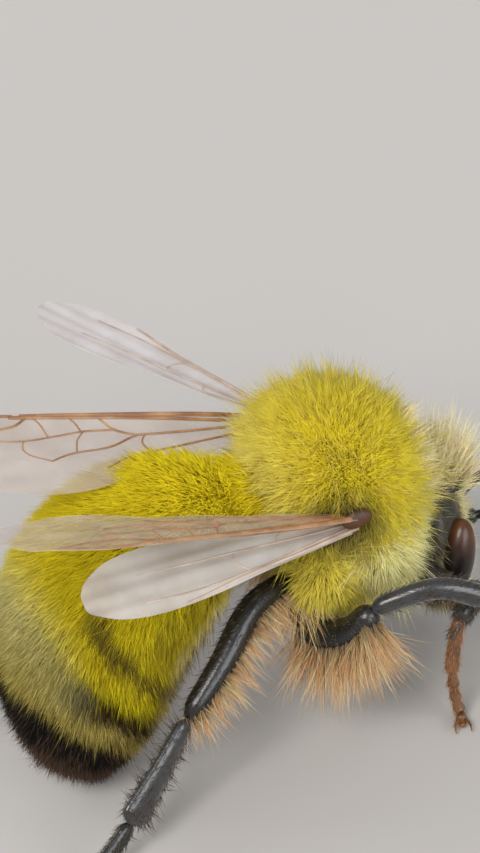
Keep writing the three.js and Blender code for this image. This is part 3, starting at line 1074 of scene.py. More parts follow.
HINDWING = WingPlan(
    length=7.4,
    chord=2.05,
    root=(-0.65, 2.38, 6.15),
    lead=np.vstack([
        bezier((0, .12), (.2, .18), (.45, .34), (.7, .38)),
        bezier((.7, .38), (.9, .4), (1, .2), (1, 0))]),
    trail=np.vstack([
        bezier((1, 0), (1, -.4), (.84, -.64), (.66, -.6)),
        bezier((.66, -.6), (.48, -.55), (.42, -.3), (0, -.12))]),
    veins=(
        (0.080, 0.050, ((-.03, .06), (.12, .125), (.32, .2), (.5, .28), (.66, .345))),
        (0.055, 0.030, ((-.02, .02), (.2, .12), (.4, .2), (.6, .24), (.8, .2))),
        (0.034, 0.030, ((.4, .2), (.44, .02), (.42, -.12))),
        (0.055, 0.028, ((-.02, -.03), (.2, -.06), (.42, -.12), (.6, -.16), (.78, -.22))),
        (0.045, 0.028, ((-.02, -.07), (.14, -.13), (.3, -.24), (.4, -.34))),
        (0.030, 0.026, ((.24, -.07), (.26, -.13), (.23, -.19))),
    ),
)


@dataclass
class Wing:
    """One wing in its pose: a thin membrane with raised veins, inside its solid plate."""

    name: str
    plan: WingPlan
    side: int
    sweep: float  # degrees out from straight back
    lift: float  # degrees above level
    pitch: float  # degrees that the leading edge is raised
    raised: float = 0.0
    clearance: float = 0.08  # how near the hairs come to the membrane
    vein_scale: float = 0.7
    film: float = 0.022  # thickness of the membrane
    margin: float = 0.03  # how far the plate stands past the edges, as a part of the chord
    fold: float = 0.07  # height of the membrane's broad folds
    ripple: float = 0.025  # height of its fine ones
    grid: tuple[int, int] = (56, 22)  # the membrane's meshes along and across

    def __post_init__(self) -> None:
        """Works out the wing's root and axes."""
        a, b, c = (math.radians(v) for v in (self.sweep, self.lift, self.pitch))
        self.root = np.array(self.plan.root) * (1, self.side, 1) + (0, 0, self.raised)
        self.span = np.array([-math.cos(a) * math.cos(b), self.side * math.sin(a) * math.cos(b), math.sin(b)])
        out = np.array([0.0, self.side, 0.0])
        level = unit(out - self.span * (out @ self.span))
        rise = np.cross(self.span, level) * -self.side
        self.lead = level * math.cos(c) + rise * math.sin(c)
        self.normal = np.cross(self.span, self.lead)

    def covers(self, points: Points) -> Points:
        """Whether points lie in the wing's plate.

        Args:
            points: the places.

        Returns:
            True where the wing is.
        """
        x, y, z = ((points - self.root) @ axis for axis in (self.span, self.lead, self.normal))
        trail, lead = self.plan.edges(x / self.plan.length)
        y = y / self.plan.chord
        between = (y > trail - self.margin) & (y < lead + self.margin)
        return (x > 0) & (x < self.plan.length) & between & (np.abs(z) < self.clearance)

    def lay(self, x: Points, y: Points, z: Points | float = 0.0) -> Points:
        """Places on the folded wing.

        Args:
            x: how far out, as a part of the wing's length.
            y: how far towards the leading edge, as a part of its chord.
            z: height over the membrane.

        Returns:
            The places.
        """
        arch = np.sin(math.pi * np.clip(x, 0, 1))
        folds = self.fold * arch * np.cos(6.0 * y) + self.ripple * np.sin(26.0 * y + 3.0 * x)
        height = folds * np.clip(6 * x, 0, 1) + z
        return (
            self.root + np.multiply.outer(x * self.plan.length, self.span)
            + np.multiply.outer(y * self.plan.chord, self.lead) + np.multiply.outer(height, self.normal))

    def membrane(self) -> Piece:
        """The membrane, a grid drawn out to the wing's outline and thickened."""
        Bench.clear()
        bpy.ops.mesh.primitive_grid_add(x_subdivisions=self.grid[0], y_subdivisions=self.grid[1], size=1.0)
        sheet = bpy.context.object
        sheet.name = self.name + "_film"

        def shape(places: Points) -> Points:
            """Places of the square sheet drawn out to the outline."""
            x = np.sin((places[:, 0] + 0.5) * math.pi / 2)
            trail, lead = self.plan.edges(x)
            share = places[:, 1] + 0.5
            return self.lay(x, trail * (1 - share) + lead * share)

        Bench.move(sheet, shape)
        Bench.edit(sheet)
        bpy.ops.mesh.remove_doubles(threshold=0.002)
        Bench.close()
        Bench.apply(sheet, "SOLIDIFY", thickness=self.film, offset=0.0)
        return sheet

    def veins(self) -> Piece:
        """The veins, round cords that stand out of both faces of the membrane."""
        curve = bpy.data.curves.new(self.name + "_veins", "CURVE")
        curve.dimensions = "3D"
        curve.bevel_depth = 1.0
        curve.bevel_resolution = 1
        curve.use_fill_caps = True
        for thick, thin, course in self.plan.veins:
            path = SmoothLine([(x, y, 0) for x, y in course]).even(18)
            places = self.lay(path[:, 0], path[:, 1])
            spline = curve.splines.new("POLY")
            spline.points.add(len(places) - 1)
            for i, (point, place) in enumerate(zip(spline.points, places, strict=True)):
                point.co = (*place, 1.0)
                point.radius = self.vein_scale * (thick + (thin - thick) * i / (len(places) - 1))
        Bench.take(Bench.put(self.name + "_veins", curve))
        bpy.ops.object.convert(target="MESH")
        return bpy.context.object

    def build(self, wardrobe: Wardrobe) -> None:
        """Makes and dresses the wing."""
        film = wardrobe.front_film if self.plan is FOREWING else wardrobe.rear_film
        settle(self.membrane(), film, [self.name])
        settle(self.veins(), wardrobe.vein if self.plan is FOREWING else wardrobe.pale_vein)


WINGS = (
    Wing("forewing_right", FOREWING, -1, 15, 25, 17, 0.1),
    Wing("forewing_left", FOREWING, 1, 1, 20, 6, 0.25),
    Wing("hindwing_right", HINDWING, -1, 8, 10, -22),
    Wing("hindwing_left", HINDWING, 1, 62, 10.5, 5, 0.8),
)


# ---- legs

@dataclass(frozen=True)
class LegPlan:
    """A right leg's joints as x, distance out, z. The left leg mirrors it and stands back by shift."""

    name: str
    coxa: tuple[Triple, ...]
    femur: tuple[Triple, ...]
    tibia: tuple[Triple, ...]
    tarsus: tuple[Triple, ...]
    femur_radius: float
    tibia_radius: float
    knee_radius: float
    paddle: float  # how much the tibia broadens to its end
    shift: float
    amber_foot: bool = True


LEGS = (
    LegPlan(
        "fore", ((0.75, 0.6, 4.45), (1.2, 1.0, 3.8)),
        ((1.2, 1.0, 3.8), (1.75, 2.1, 2.95), (2.3, 2.8, 3.2)),
        ((2.3, 2.8, 3.2), (1.95, 3.05, 3.1), (1.46, 3.2, 2.9)),
        ((1.46, 3.2, 2.9), (1.05, 3.25, 1.7), (0.95, 3.3, 0.75), (0.97, 3.38, 0.27), (0.88, 3.66, 0.22)),
        0.31, 0.26, 0.23, 1.0, 0.35),
    LegPlan(
        "middle", ((-1.2, 0.7, 4.7), (-1.9, 1.35, 4.1)),
        ((-1.9, 1.35, 4.1), (-1.95, 1.9, 3.35), (-1.63, 2.5, 3.25), (-1.16, 3.0, 3.58), (-0.75, 3.35, 4.25)),
        ((-0.75, 3.35, 4.25), (0.9, 3.75, 4.4), (2.05, 4.0, 3.75)),
        ((2.05, 4.0, 3.75), (2.95, 4.25, 2.0), (3.4, 4.4, 0.6), (3.65, 4.47, 0.27), (4.0, 4.58, 0.22)),
        0.46, 0.32, 0.25, 1.0, -0.6),
    LegPlan(
        "hind", ((-1.3, 0.6, 4.9), (-1.9, 1.1, 4.4)),
        ((-1.9, 1.1, 4.4), (-3.3, 1.75, 4.45), (-4.6, 2.45, 3.65), (-5.85, 2.9, 2.85)),
        ((-5.85, 2.9, 2.85), (-7.0, 3.4, 1.95), (-8.1, 3.8, 1.15)),
        ((-8.1, 3.8, 1.15), (-9.2, 4.2, 0.55), (-10.0, 4.5, 0.27), (-10.6, 4.7, 0.22)),
        0.36, 0.29, 0.24, 1.7, 0.3, False),
)


@dataclass
class Leg:
    """A pair of legs: each joint is modelled on the right and mirrored to the left."""

    plan: LegPlan
    toe_radius: float = 0.15
    foot_joints: tuple[float, ...] = (0.0, 0.5, 0.625, 0.75, 0.875, 1.0)

    def line(self, points: Sequence[Triple], count: int = 24, start: float = 0.0, end: float = 1.0) -> Points:
        """A stretch of the right leg's line."""
        return SmoothLine([(x, -out, z) for x, out, z in points]).even(count, start, end)

    def upper(self) -> Piece:
        """The hidden hip joints and the femur, which swells in its first half."""
        plan = self.plan
        collar = plan.knee_radius * 1.18
        inner = self.line(plan.coxa)
        hip = Limb(inner, lambda s: ((0.44 - 0.1 * s) * rounded(s, 0.2),) * 2, 16, 8).build("hip")
        start = self.line(plan.femur, 6, 0.0, 0.12)
        ring = Limb(start, lambda s: (collar * rounded(s, 0.4, 0.3),) * 2, 16, 8).build("ring")

        def section(s: float) -> tuple[float, float]:
            """Half width and half thickness at s."""
            swell = math.sin(math.pi * min(1.0, 0.18 + 0.72 * s))
            radius = (plan.knee_radius + (plan.femur_radius - plan.knee_radius) * swell) * rounded(s, 0.1)
            return radius * 0.94, radius

        thigh = Limb(self.line(plan.femur), section, 20, 20).build("thigh")
        return Bench.join([thigh, hip, ring], f"{plan.name}_femur_shell_right")

    def shin(self) -> Piece:
        """The tibia with its two spurs; the hind one is a broad flat blade."""
        plan = self.plan

        def section(s: float) -> tuple[float, float]:
            """Half width and half thickness at s."""
            broad = plan.knee_radius + (plan.tibia_radius - plan.knee_radius) * s
            blade = 1 + (plan.paddle - 1) * s ** 0.8
            end = rounded(s, 0.09)
            return broad * 0.86 * end / max(1.0, plan.paddle * 0.75), broad * blade * end

        blade = Limb(self.line(plan.tibia), section, 20, 20).build("blade")
        tip, before = self.line(plan.tibia)[-1], self.line(plan.tibia)[-4]
        heading = unit(tip - before)
        spurs = []
        for turn in (-1, 1):
            start = tip + np.array([0, 0.09 * turn, -0.1])
            course = SmoothLine([
                start,
                start + heading * 0.22 + (0, 0.03 * turn, -0.05),
                start + heading * 0.42 + (0, 0.05 * turn, -0.13)])
            spur = Limb(course.even(8), lambda s: (0.05 * (1 - 0.8 * s),) * 2, 8, 5, Twist.LEAST)
            spurs.append(spur.build("spur"))
        return Bench.join([blade, *spurs], f"{plan.name}_tibia_shell_right")

    def foot(self) -> Piece:
        """The tarsus: a long first joint, three short ones, a long last one, two claws and their pad."""
        plan = self.plan
        joints = []
        bounds = list(zip(self.foot_joints[:-1], self.foot_joints[1:], strict=True))
        for i, (start, end) in enumerate(bounds):
            broad = (1.25 + (plan.paddle - 1) * 0.7) if i == 0 else 1.0

            def section(s: float, broad: float = broad, first: bool = i == 0) -> tuple[float, float]:
                """Half width and half thickness at s."""
                flare = (0.88 + 0.12 * s) if first else (0.62 + 0.46 * s)
                radius = self.toe_radius * flare * rounded(s, 0.12, 0.25)
                return radius * (1.1 if first else 1.0), radius * broad

            line = self.line(plan.tarsus, 14, start, end + 0.012)
            joints.append(Limb(line, section, 14, 12, Twist.LEAST).build("tarsomere"))
        toe = self.line(plan.tarsus)[-1]
        heading = toe - self.line(plan.tarsus)[-3]
        heading = unit(heading * (1, 1, 0))
        sideways = np.array([-heading[1], heading[0], 0])
        for turn in (-1, 1):
            course = SmoothLine([
                toe - heading * 0.05 + sideways * turn * 0.04,
                toe + heading * 0.14 + sideways * turn * 0.16 + (0, 0, 0.05),
                toe + heading * 0.33 + sideways * turn * 0.2 + (0, 0, -0.02),
                toe + heading * 0.38 + sideways * turn * 0.19 + (0, 0, -0.08)])
            claw = Limb(course.even(12), lambda s: (0.055 * (1 - 0.82 * s),) * 2, 10, 9, Twist.LEAST)
            joints.append(claw.build("claw"))
        joints.append(Bench.ball("pad", toe + heading * 0.1 + (0, 0, -0.03), (0.09, 0.09, 0.06), 16, 10))
        return Bench.join(joints, f"{plan.name}_tarsus_shell_right")

    def build(self) -> None:
        """Makes the joints of both sides, kept by joint and side until their hair is rooted."""
        self.parts = {}
        for joint, piece in (("femur", self.upper()), ("tibia", self.shin()), ("tarsus", self.foot())):
            self.parts[joint, "right"] = piece
            self.parts[joint, "left"] = Bench.twin(piece, self.plan.shift)

    def finish(self, wardrobe: Wardrobe) -> None:
        """Settles the pair's pieces."""
        for (joint, side), piece in self.parts.items():
            light = self.plan.amber_foot and joint == "tarsus"
            dark = wardrobe.slate if joint == "tibia" else wardrobe.black
            settle(piece, wardrobe.amber if light else dark, [f"{self.plan.name}_{joint}_{side}"])


# ---- markings

@dataclass(frozen=True)
class Markings:
    """The colours of the coat, with its painted shade and light, by their place on the body, the same for the
    hairs and the skin.
    """

    abdomen: Abdomen = field(default_factory=Abdomen)
    slant: float = 0.13  # how much further down the bands run at the sides than on the back
    blur: float = 0.012  # half the width over which two bands mix
    wing_shadow_middle: Triple = (-0.5, 2.2, 6.15)  # the middle of the painted shadow round each wing's root
    # each band: where it ends, its pigment and how much of it shows on the back
    bands: tuple[tuple[float, Pigment, float], ...] = (
        (0.295, Pigment.BRIGHT, 1.0), (0.342, Pigment.OLIVE, 0.0), (0.418, Pigment.BRIGHT, 1.0),
        (0.482, Pigment.BROWN, 0.6), (0.565, Pigment.GOLD, 1.0), (0.69, Pigment.BLACK, 1.0),
        (2.0, Pigment.SMOKE, 1.0))

    def band(self, points: Points) -> Points:
        """How far along the run of bands points lie."""
        t, angle, _ = self.abdomen.chart(points)
        wobble = 0.007 * np.sin(7 * angle) + 0.006 * np.sin(17 * angle + 2)
        return t - self.slant * (1 - np.cos(angle)) + wobble

    def on_abdomen(self, points: Points) -> Points:
        """The abdomen's colours: yellow and dark bands, then smoky grey, with a pale belly, painted shade low
        on the sides of the first ring and painted light at the rear of the curl.

        Args:
            points: the places.

        Returns:
            Their colours.
        """
        along = self.band(points)
        angle = np.abs(self.abdomen.chart(points)[1])
        colour = np.tile(self.bands[0][1].rgb, (len(points), 1))
        before = colour
        for (end, _, _), (_, pigment, top) in zip(self.bands[:-1], self.bands[1:], strict=True):
            shown = top + (1 - top) * ramp(angle, 0.7, 1.15)
            own = mixed(before, pigment.rgb, shown)
            colour = mixed(colour, own, ramp(along, end - self.blur, end + self.blur))
        # painted shade: the lower sides of the first ring darkened towards olive, where the wings' shadow
        # falls
        low_side_shade = ramp(angle, 1.4, 1.8) * (1 - ramp(along, 0.2, 0.3))
        colour = mixed(colour, Pigment.OLIVE.rgb, 0.45 * low_side_shade)
        side = ramp(angle, 2.0, 2.4) * (1 - ramp(along, 0.42, 0.5))
        colour = mixed(colour, Pigment.CREAM.rgb, 0.7 * side)
        # painted light: the hair at the rear of the curl lightened to lemon, as if lit from behind
        rear = ramp(-points[:, 0], 7.4, 8.8) * (1 - ramp(along, 0.4, 0.55))
        colour = mixed(colour, Pigment.LEMON.rgb, 0.85 * rear)
        return mixed(colour, Pigment.SMOKE.rgb, 0.7 * ramp(angle, 2.35, 2.7))

    def on_thorax(self, points: Points) -> Points:
        """The thorax's colours: bright yellow, lemon flanks, a cream collar, a tan breast and painted shadow
        round the wing roots.

        Args:
            points: the places.

        Returns:
            Their colours.
        """
        x, y, z = points.T
        colour = np.tile(Pigment.BRIGHT.rgb, (len(points), 1))
        colour = mixed(colour, Pigment.LEMON.rgb, 0.35 * ramp(-x, 0.6, 2.2) * ramp(z, 5.5, 7.0))
        flank = ramp(-z, -5.5, -5.0) * (0.15 + 0.85 * ramp(x, -0.9, -0.3))
        colour = mixed(colour, Pigment.LEMON.rgb, flank)
        front = ramp(x, 1.35, 2.0) * ramp(z, 4.6, 5.3) * (1 - ramp(z, 6.6, 7.6))
        colour = mixed(colour, Pigment.CREAM.rgb, 0.55 * front)
        colour = mixed(colour, Pigment.TAN.rgb, 0.9 * ramp(-z, -4.6, -4.15) * (1 - ramp(np.abs(y), 0.7, 1.1)))
        # painted shadow: the hair round each wing root darkened to brown, where the wings shade it
        mirrored = points * (1, 0, 1) + np.abs(points) * (0, 1, 0)
        from_wing_shadow = np.linalg.norm((mirrored - self.wing_shadow_middle) / (1, 2, 1), axis=1)
        return mixed(colour, Pigment.BROWN.rgb, 0.8 * (1 - ramp(from_wing_shadow, 0.4, 1.05)))

    def on_head(self, points: Points) -> Points:
        """The head's colours: a cream crown and a yellowish face."""
        z = leaned(points, -HEAD_PITCH)[:, 2]
        return mixed(np.tile(Pigment.LEMON.rgb, (len(points), 1)), Pigment.CREAM.rgb, ramp(z, 3.6, 4.6))

    def colours(self, points: Points, region: Region) -> Points:
        """The colours at points of a region."""
        rule = {Region.THORAX: self.on_thorax, Region.ABDOMEN: self.on_abdomen, Region.HEAD: self.on_head}
        return rule[region](points)


# ---- skin

@dataclass
class Skin:
    """The body wall of thorax, abdomen and head in one piece, inside the coat."""

    markings: Markings
    thorax: Pod = Pod((-0.12, 0.0, 6.08), (1.9, 2.05, 2.0))
    abdomen: Abdomen = field(default_factory=Abdomen)
    head: Head = field(default_factory=Head)
    coat_depth: float = 0.6  # depth of the abdomen's coat
    lobe_half: Triple = (0.66, 0.62, 0.6)
    voxel: float = 0.075
    shade: float = 0.65  # painted shade: how dark the skin is against its coat
    bare: tuple[float, float] = (0.05, 0.012)  # share and floor of the colour on the head's bare shell
    waist_x: float = -1.75  # no abdomen in front of this

    def build(self) -> None:
        """Joins the cores, makes one smooth wall of them and marks it."""
        neck = np.linspace((-1.3, 0, 6.1), (-3.0, 0, 6.25), 6)
        waist = Limb(neck, lambda s: (0.85, 0.85), 24, 6).build("waist_core")
        breast = Bench.ball("breast_core", (0.1, 0, 4.75), (1.45, 1.25, 0.9))
        middles = [(x, y * side, z) for x, y, z in LOBES for side in (-1, 1)]
        lobes = [Bench.ball("lobe_core", middle, self.lobe_half) for middle in middles]
        thorax = Bench.ball("thorax_core", self.thorax.centre, self.thorax.half, 48, 32)
        cores = [thorax, breast, *lobes, self.abdomen.core(self.coat_depth), waist, *self.head.cores()]
        skin = Bench.join(cores, "body_skin")
        Bench.apply(skin, "REMESH", mode="VOXEL", voxel_size=self.voxel)
        Bench.apply(skin, "SMOOTH", factor=0.5, iterations=5)
        self.piece = skin
        self.gather()
        self.mark()

    def gather(self) -> None:
        """Reads the wall's triangles and sorts them by region."""
        mesh = self.piece.data
        mesh.calc_loop_triangles()
        corners = np.empty(len(mesh.loop_triangles) * 3, np.int32)
        mesh.loop_triangles.foreach_get("vertices", corners)
        self.corners = corners.reshape(-1, 3)
        normals = np.empty(len(mesh.vertices) * 3, np.float32)
        mesh.vertices.foreach_get("normal", normals)
        self.places = Bench.points(self.piece)
        self.normals = normals.reshape(-1, 3).astype(float)
        self.tree = BVHTree.FromPolygons(self.places.tolist(), self.corners.tolist())
        self.regions = self.sort(self.places)

    def sort(self, points: Points) -> Points:
        """The number of the region that each point belongs to.

        Args:
            points: the places.

        Returns:
            The number of each place's region.
        """
        thorax = self.thorax.depth(points)
        head = self.head.capsule.depth(points)
        out = self.abdomen.chart(points)[2]
        out = np.where(points[:, 0] < self.waist_x, out * 0.8, 9.0)
        return np.argmin(np.stack([thorax, out, head * 0.97]), axis=0)

    def mark(self) -> None:
        """Gives the wall the coat's markings, deep in shade, with bare black shell on the head."""
        colour = np.zeros((len(self.places), 4))
        colour[:, 3] = 1
        for region in Region:
            here = self.regions == region.value
            colour[here, :3] = self.markings.colours(self.places[here], region) * self.shade
            if region is Region.HEAD:
                colour[here, :3] = colour[here, :3] * self.bare[0] + self.bare[1]
        attribute = self.piece.data.attributes.new("pile", "FLOAT_COLOR", "POINT")
        attribute.data.foreach_set("color", colour.astype(np.float32).ravel())

    def finish(self, wardrobe: Wardrobe) -> None:
        """Settles the skin in place of the flesh nodes."""
        rings = [f"abdomen_{i}" for i in range(1, 7)]
        settle(self.piece, wardrobe.skin, ["thorax", "head", *rings], smooth=180)


# ---- hair

@dataclass
class Strand:
    """One tapering hair, three-sided and closed, modelled once and then copied."""

    joints: int = 1  # how many rings between root and tip
    belly: float = 0.86  # how thick the first ring is against the root

    def __post_init__(self) -> None:
        """Shapes the hair from a cone and reads its points and faces."""
        Bench.clear()
        bpy.ops.mesh.primitive_cone_add(vertices=3, radius1=1.0, depth=1.0, location=(0, 0, 0.5))
        spike = bpy.context.object
        bpy.ops.object.transform_apply(location=True)
        for i in range(1, self.joints + 1):
            Bench.edit(spike)
            bpy.ops.mesh.bisect(plane_co=(0, 0, i / (self.joints + 1)), plane_no=(0, 0, 1))
            bpy.ops.object.mode_set(mode="OBJECT")
        places = Bench.points(spike)
        height = places[:, 2]
        taper = np.maximum(1 - height, 1e-6)
        full = (1 - height ** 1.6) * (self.belly + (1 - self.belly) * (1 - height))
        places[:, :2] *= (full / taper)[:, None]
        places[height > 0.999, :2] = 0
        self.places = places
        self.faces = [tuple(face.vertices) for face in spike.data.polygons]
        bpy.data.objects.remove(spike)
        corners = [corner for face in self.faces for corner in face]
        around = np.arctan2(places[corners, 1], places[corners, 0]) / (2 * math.pi) + 0.5
        self.patch = np.stack([around, places[corners, 2]], -1)

    @property
    def triangles(self) -> int:
        """How many triangles the hair has."""
        return sum(len(face) - 2 for face in self.faces)


@dataclass
class Growth:
    """Hairs about to be made, one row for each."""

    roots: Points
    directions: Points
    lengths: Points
    widths: Points
    colours: Points
    chart: Points  # each root's place on the unwrapped skin
    bends: Points | None = None

    def kept(self, mask: Points) -> "Growth":
        """The hairs that a mask picks."""
        names = ("roots", "directions", "lengths", "widths", "colours", "chart")
        rows = {name: getattr(self, name)[mask] for name in names}
        return Growth(**rows, bends=None if self.bends is None else self.bends[mask])


@dataclass
class Weaver:
    """Makes pieces of coat out of grown hairs."""

    rng: np.random.Generator
    patch: float = 0.003  # width of a hair's patch on the unwrapped skin
    floor: float = 0.12  # the lowest that a hair's tip comes
    ground: float = 0.08  # the lowest that a bent hair comes
    skip: float = 0.05  # the stretch next to the root in which nothing stops a hair
    stop: float = 0.9  # how far a hair goes towards what is in its way
    waver: float = 0.09  # how far hairs bend that have no bend of their own

    def clump(self, growth: Growth, each: int, pull: float) -> None:
        """Draws the tips of neighbouring hairs together into small locks.

        Args:
            growth: the hairs.
            each: how many hairs share a lock.
            pull: how far the tips come together, 1 being one point.
        """
        count = len(growth.roots)
        heads = self.rng.choice(count, max(1, count // each), replace=False)
        tree = KDTree(len(heads))
        for i, head in enumerate(heads):
            tree.insert(growth.roots[head], i)
        tree.balance()
        lock = heads[np.array([tree.find(root)[1] for root in growth.roots])]
        tips = growth.roots + growth.directions * growth.lengths[:, None]
        shared = growth.roots[lock] + growth.directions[lock] * growth.lengths[:, None]
        growth.directions = unit(mixed(tips, shared, np.full(count, pull)) - growth.roots)
        tone = self.rng.normal(1.0, 0.07, len(heads))
        share = dict(zip(heads.tolist(), tone.tolist(), strict=True))
        growth.colours = growth.colours * np.array([share[int(i)] for i in lock])[:, None]

    def cut(self, growth: Growth, trees: Sequence[BVHTree], least: float = 0.12) -> Growth:
        """Shortens hairs that would run into something and drops those that are left too short.

        Args:
            growth: the hairs.
            trees: what stands in their way.
            least: the shortest hair that stays.

        Returns:
            The hairs that stay.
        """
        lengths = growth.lengths.copy()
        for i, (root, way) in enumerate(zip(growth.roots, growth.directions, strict=True)):
            start = Vector(root + way * self.skip)
            for tree in trees:
                hit = tree.ray_cast(start, Vector(way), lengths[i])
                if hit[3] is not None:
                    lengths[i] = hit[3] * self.stop
        growth.lengths = self.above_floor(growth, lengths)
        return growth.kept(lengths > least)

    def above_floor(self, growth: Growth, lengths: Points) -> Points:
        """Lengths that keep every tip above the floor."""
        drop = np.maximum(-growth.directions[:, 2], 1e-6)
        return np.minimum(lengths, np.maximum(growth.roots[:, 2] - self.floor, 0.02) / drop)

    def weave(self, name: str, growth: Growth, strand: Strand) -> Piece:
        """Makes one mesh of all the hairs.

        Args:
            name: the piece's name.
            growth: the hairs.
            strand: the hair that is copied.

        Returns:
            The piece, with its colours, its reach from root to tip and its baking map.
        """
        count, points = len(growth.roots), len(strand.places)
        guide = unit(self.rng.normal(size=(count, 3)))
        across = unit(np.cross(growth.directions, guide))
        up = np.cross(growth.directions, across)
        x, y, z = strand.places.T
        far = growth.lengths[:, None, None] * z[None, :, None]
        body = growth.roots[:, None] + growth.directions[:, None] * far
        round_it = across[:, None] * x[None, :, None] + up[:, None] * y[None, :, None]
        body += round_it * growth.widths[:, None, None]
        bends = growth.bends if growth.bends is not None else self.rng.normal(0, self.waver, (count, 3))
        body += bends[:, None] * growth.lengths[:, None, None] * (z ** 2)[None, :, None]
        body[:, :, 2] = np.maximum(body[:, :, 2], self.ground)
        mesh = bpy.data.meshes.new(name)
        sizes = np.array([len(face) for face in strand.faces])
        corners = np.array([corner for face in strand.faces for corner in face])
        loops = (corners[None] + points * np.arange(count)[:, None]).ravel()
        mesh.vertices.add(count * points)
        mesh.vertices.foreach_set("co", body.astype(np.float32).ravel())
        mesh.loops.add(len(loops))
        mesh.loops.foreach_set("vertex_index", loops.astype(np.int32))
        mesh.polygons.add(count * len(sizes))
        starts = np.concatenate([[0], np.cumsum(np.tile(sizes, count))[:-1]])
        mesh.polygons.foreach_set("loop_start", starts.astype(np.int32))
        mesh.polygons.foreach_set("use_smooth", np.ones(count * len(sizes), bool))
        mesh.update(calc_edges=True)
        self.dress(mesh, growth, strand)
        return Bench.put(name, mesh)

    def dress(self, mesh: bpy.types.Mesh, growth: Growth, strand: Strand) -> None:
        """Writes the hairs' colours, how far along its hair each point lies, and the baking map.

        On the map each hair is a small patch at its root's place on the unwrapped skin.

        Args:
            mesh: the mesh of the hairs.
            growth: the hairs.
            strand: the hair that was copied.
        """
        count, points = len(growth.roots), len(strand.places)
        rgba = np.ones((count, points, 4))
        rgba[:, :, :3] = np.clip(growth.colours, 0, 1)[:, None]
        pile = mesh.attributes.new("pile", "FLOAT_COLOR", "POINT")
        pile.data.foreach_set("color", rgba.astype(np.float32).ravel())
        reach = mesh.attributes.new("reach", "FLOAT", "POINT")
        reach.data.foreach_set("value", np.tile(strand.places[:, 2], count).astype(np.float32))
        low, high = growth.chart.min(0), growth.chart.max(0)
        home = 0.005 + 0.987 * (growth.chart - low) / np.maximum(high - low, NO_LENGTH)
        spread = home[:, None] + strand.patch[None] * self.patch
        mesh.uv_layers.new(name="OFBake").data.foreach_set("uv", spread.astype(np.float32).ravel())


@dataclass
class Tuft:
    """How the hair of one stretch of the body grows."""

    region: Region
    count: int
    longest: float  # length of a hair that nothing limits, in millimetres
    width: float
    where: Rule  # how densely it grows
    lie: Rule  # which way it stands
    span: tuple[float, float]  # shortest and longest hair against the room it has
    clump: tuple[int, float]  # how many hairs share a lock and how far their tips come together
    stray: float  # how far the hairs stray from their lie
    strand: Strand
    tint: tuple[Pigment, float] | None = None  # a pigment of its own and its share
    free: bool = False  # whether the hair may leave the outline
    curl: float = 0.1
    rarity: float = 1.0  # how much rarer the long hairs are than the short ones, 1 being even


@dataclass
class Coat:
    """The whole pile of the body."""

    skin: Skin
    outline: Outline
    weaver: Weaver
    obstacles: list[BVHTree] = field(default_factory=list)
    sunk: float = 0.02  # how deep the roots stand under the skin
    blur: float = 0.06  # how far a hair may stand from where its colour belongs
    uneven: float = 0.08  # how much the colour differs from hair to hair
    least_rise: float = 0.15  # no hair lies flatter on the skin than this
    sag: tuple[float, float, float] = (0.05, 0, 0.05)  # how far the tips drop back and down

    def scatter(self, tuft: Tuft) -> tuple[Points, Points]:
        """Root places and normals for a tuft, spread over its region by area and by its own density.

        Args:
            tuft: how its hairs grow.

        Returns:
            The places and the normals.
        """
        skin = self.skin
        owner = skin.regions[skin.corners[:, 0]] == tuft.region.value
        triangles = skin.corners[owner]
        a, b, c = (skin.places[triangles[:, k]] for k in range(3))
        area = np.linalg.norm(np.cross(b - a, c - a), axis=1)
        middle = (a + b + c) / 3
        normal = unit(skin.normals[triangles].mean(1))
        weight = area * np.maximum(tuft.where(middle, normal), 0)
        picked, first, second, third = strewn(self.weaver.rng, weight, tuft.count)
        roots = a[picked] * first + b[picked] * second + c[picked] * third
        corner = skin.normals[triangles[picked]]
        normals = unit(corner[:, 0] * first + corner[:, 1] * second + corner[:, 2] * third)
        return roots - normals * self.sunk, normals

    def chart(self, roots: Points, region: Region) -> Points:
        """The roots' places on the unwrapped skin: round the body and along it.

        Args:
            roots: the roots.
            region: the stretch of body that they stand on.

        Returns:
            Two numbers for each root.
        """
        if region is Region.ABDOMEN:
            t, angle, _ = self.skin.abdomen.chart(roots)
            return np.stack([angle / math.pi, t], -1)
        centre = THORAX_AT if region is Region.THORAX else HEAD_AT
        local = roots - centre
        return np.stack([np.arctan2(local[:, 1], local[:, 2]) / math.pi, local[:, 0]], -1)

    def grow(self, tuft: Tuft) -> Growth:
        """Grows one tuft's hairs.

        Args:
            tuft: how they grow.

        Returns:
            The hairs, inside the outline and clear of what stands in their way.
        """
        rng = self.weaver.rng
        roots, normals = self.scatter(tuft)
        directions = unit(tuft.lie(roots, normals) + rng.normal(0, tuft.stray, roots.shape))
        steep = (directions * normals).sum(-1)
        directions = unit(directions + normals * np.maximum(self.least_rise - steep, 0)[:, None])
        strayed = roots + rng.normal(0, self.blur, roots.shape)
        colours = self.skin.markings.colours(strayed, tuft.region)
        if tuft.tint is not None:
            colours = mixed(colours, tuft.tint[0].rgb, np.full(len(roots), tuft.tint[1]))
        colours = colours * rng.normal(1.0, self.uneven, len(roots))[:, None]
        widths = tuft.width * rng.uniform(0.8, 1.2, len(roots))
        lengths = np.full(len(roots), tuft.longest)
        growth = Growth(roots, directions, lengths, widths, colours, self.chart(roots, tuft.region))
        self.weaver.clump(growth, *tuft.clump)
        room = np.full(len(roots), tuft.longest)
        if not tuft.free:
            room = self.outline.reach(roots, growth.directions, tuft.longest, tuft.region)
        short, long = tuft.span
        growth.lengths = room * (short + (long - short) * rng.random(len(roots)) ** tuft.rarity)
        growth.bends = rng.normal(0, tuft.curl, roots.shape) - np.array(self.sag)
        return self.weaver.cut(growth, [self.skin.tree, *self.obstacles])


def thorax_where(points: Points, normals: Points) -> Points:
    """Dense all over the thorax, thinner under it."""
    return 1.0 - 0.55 * ramp(-normals[:, 2], 0.2, 0.8)


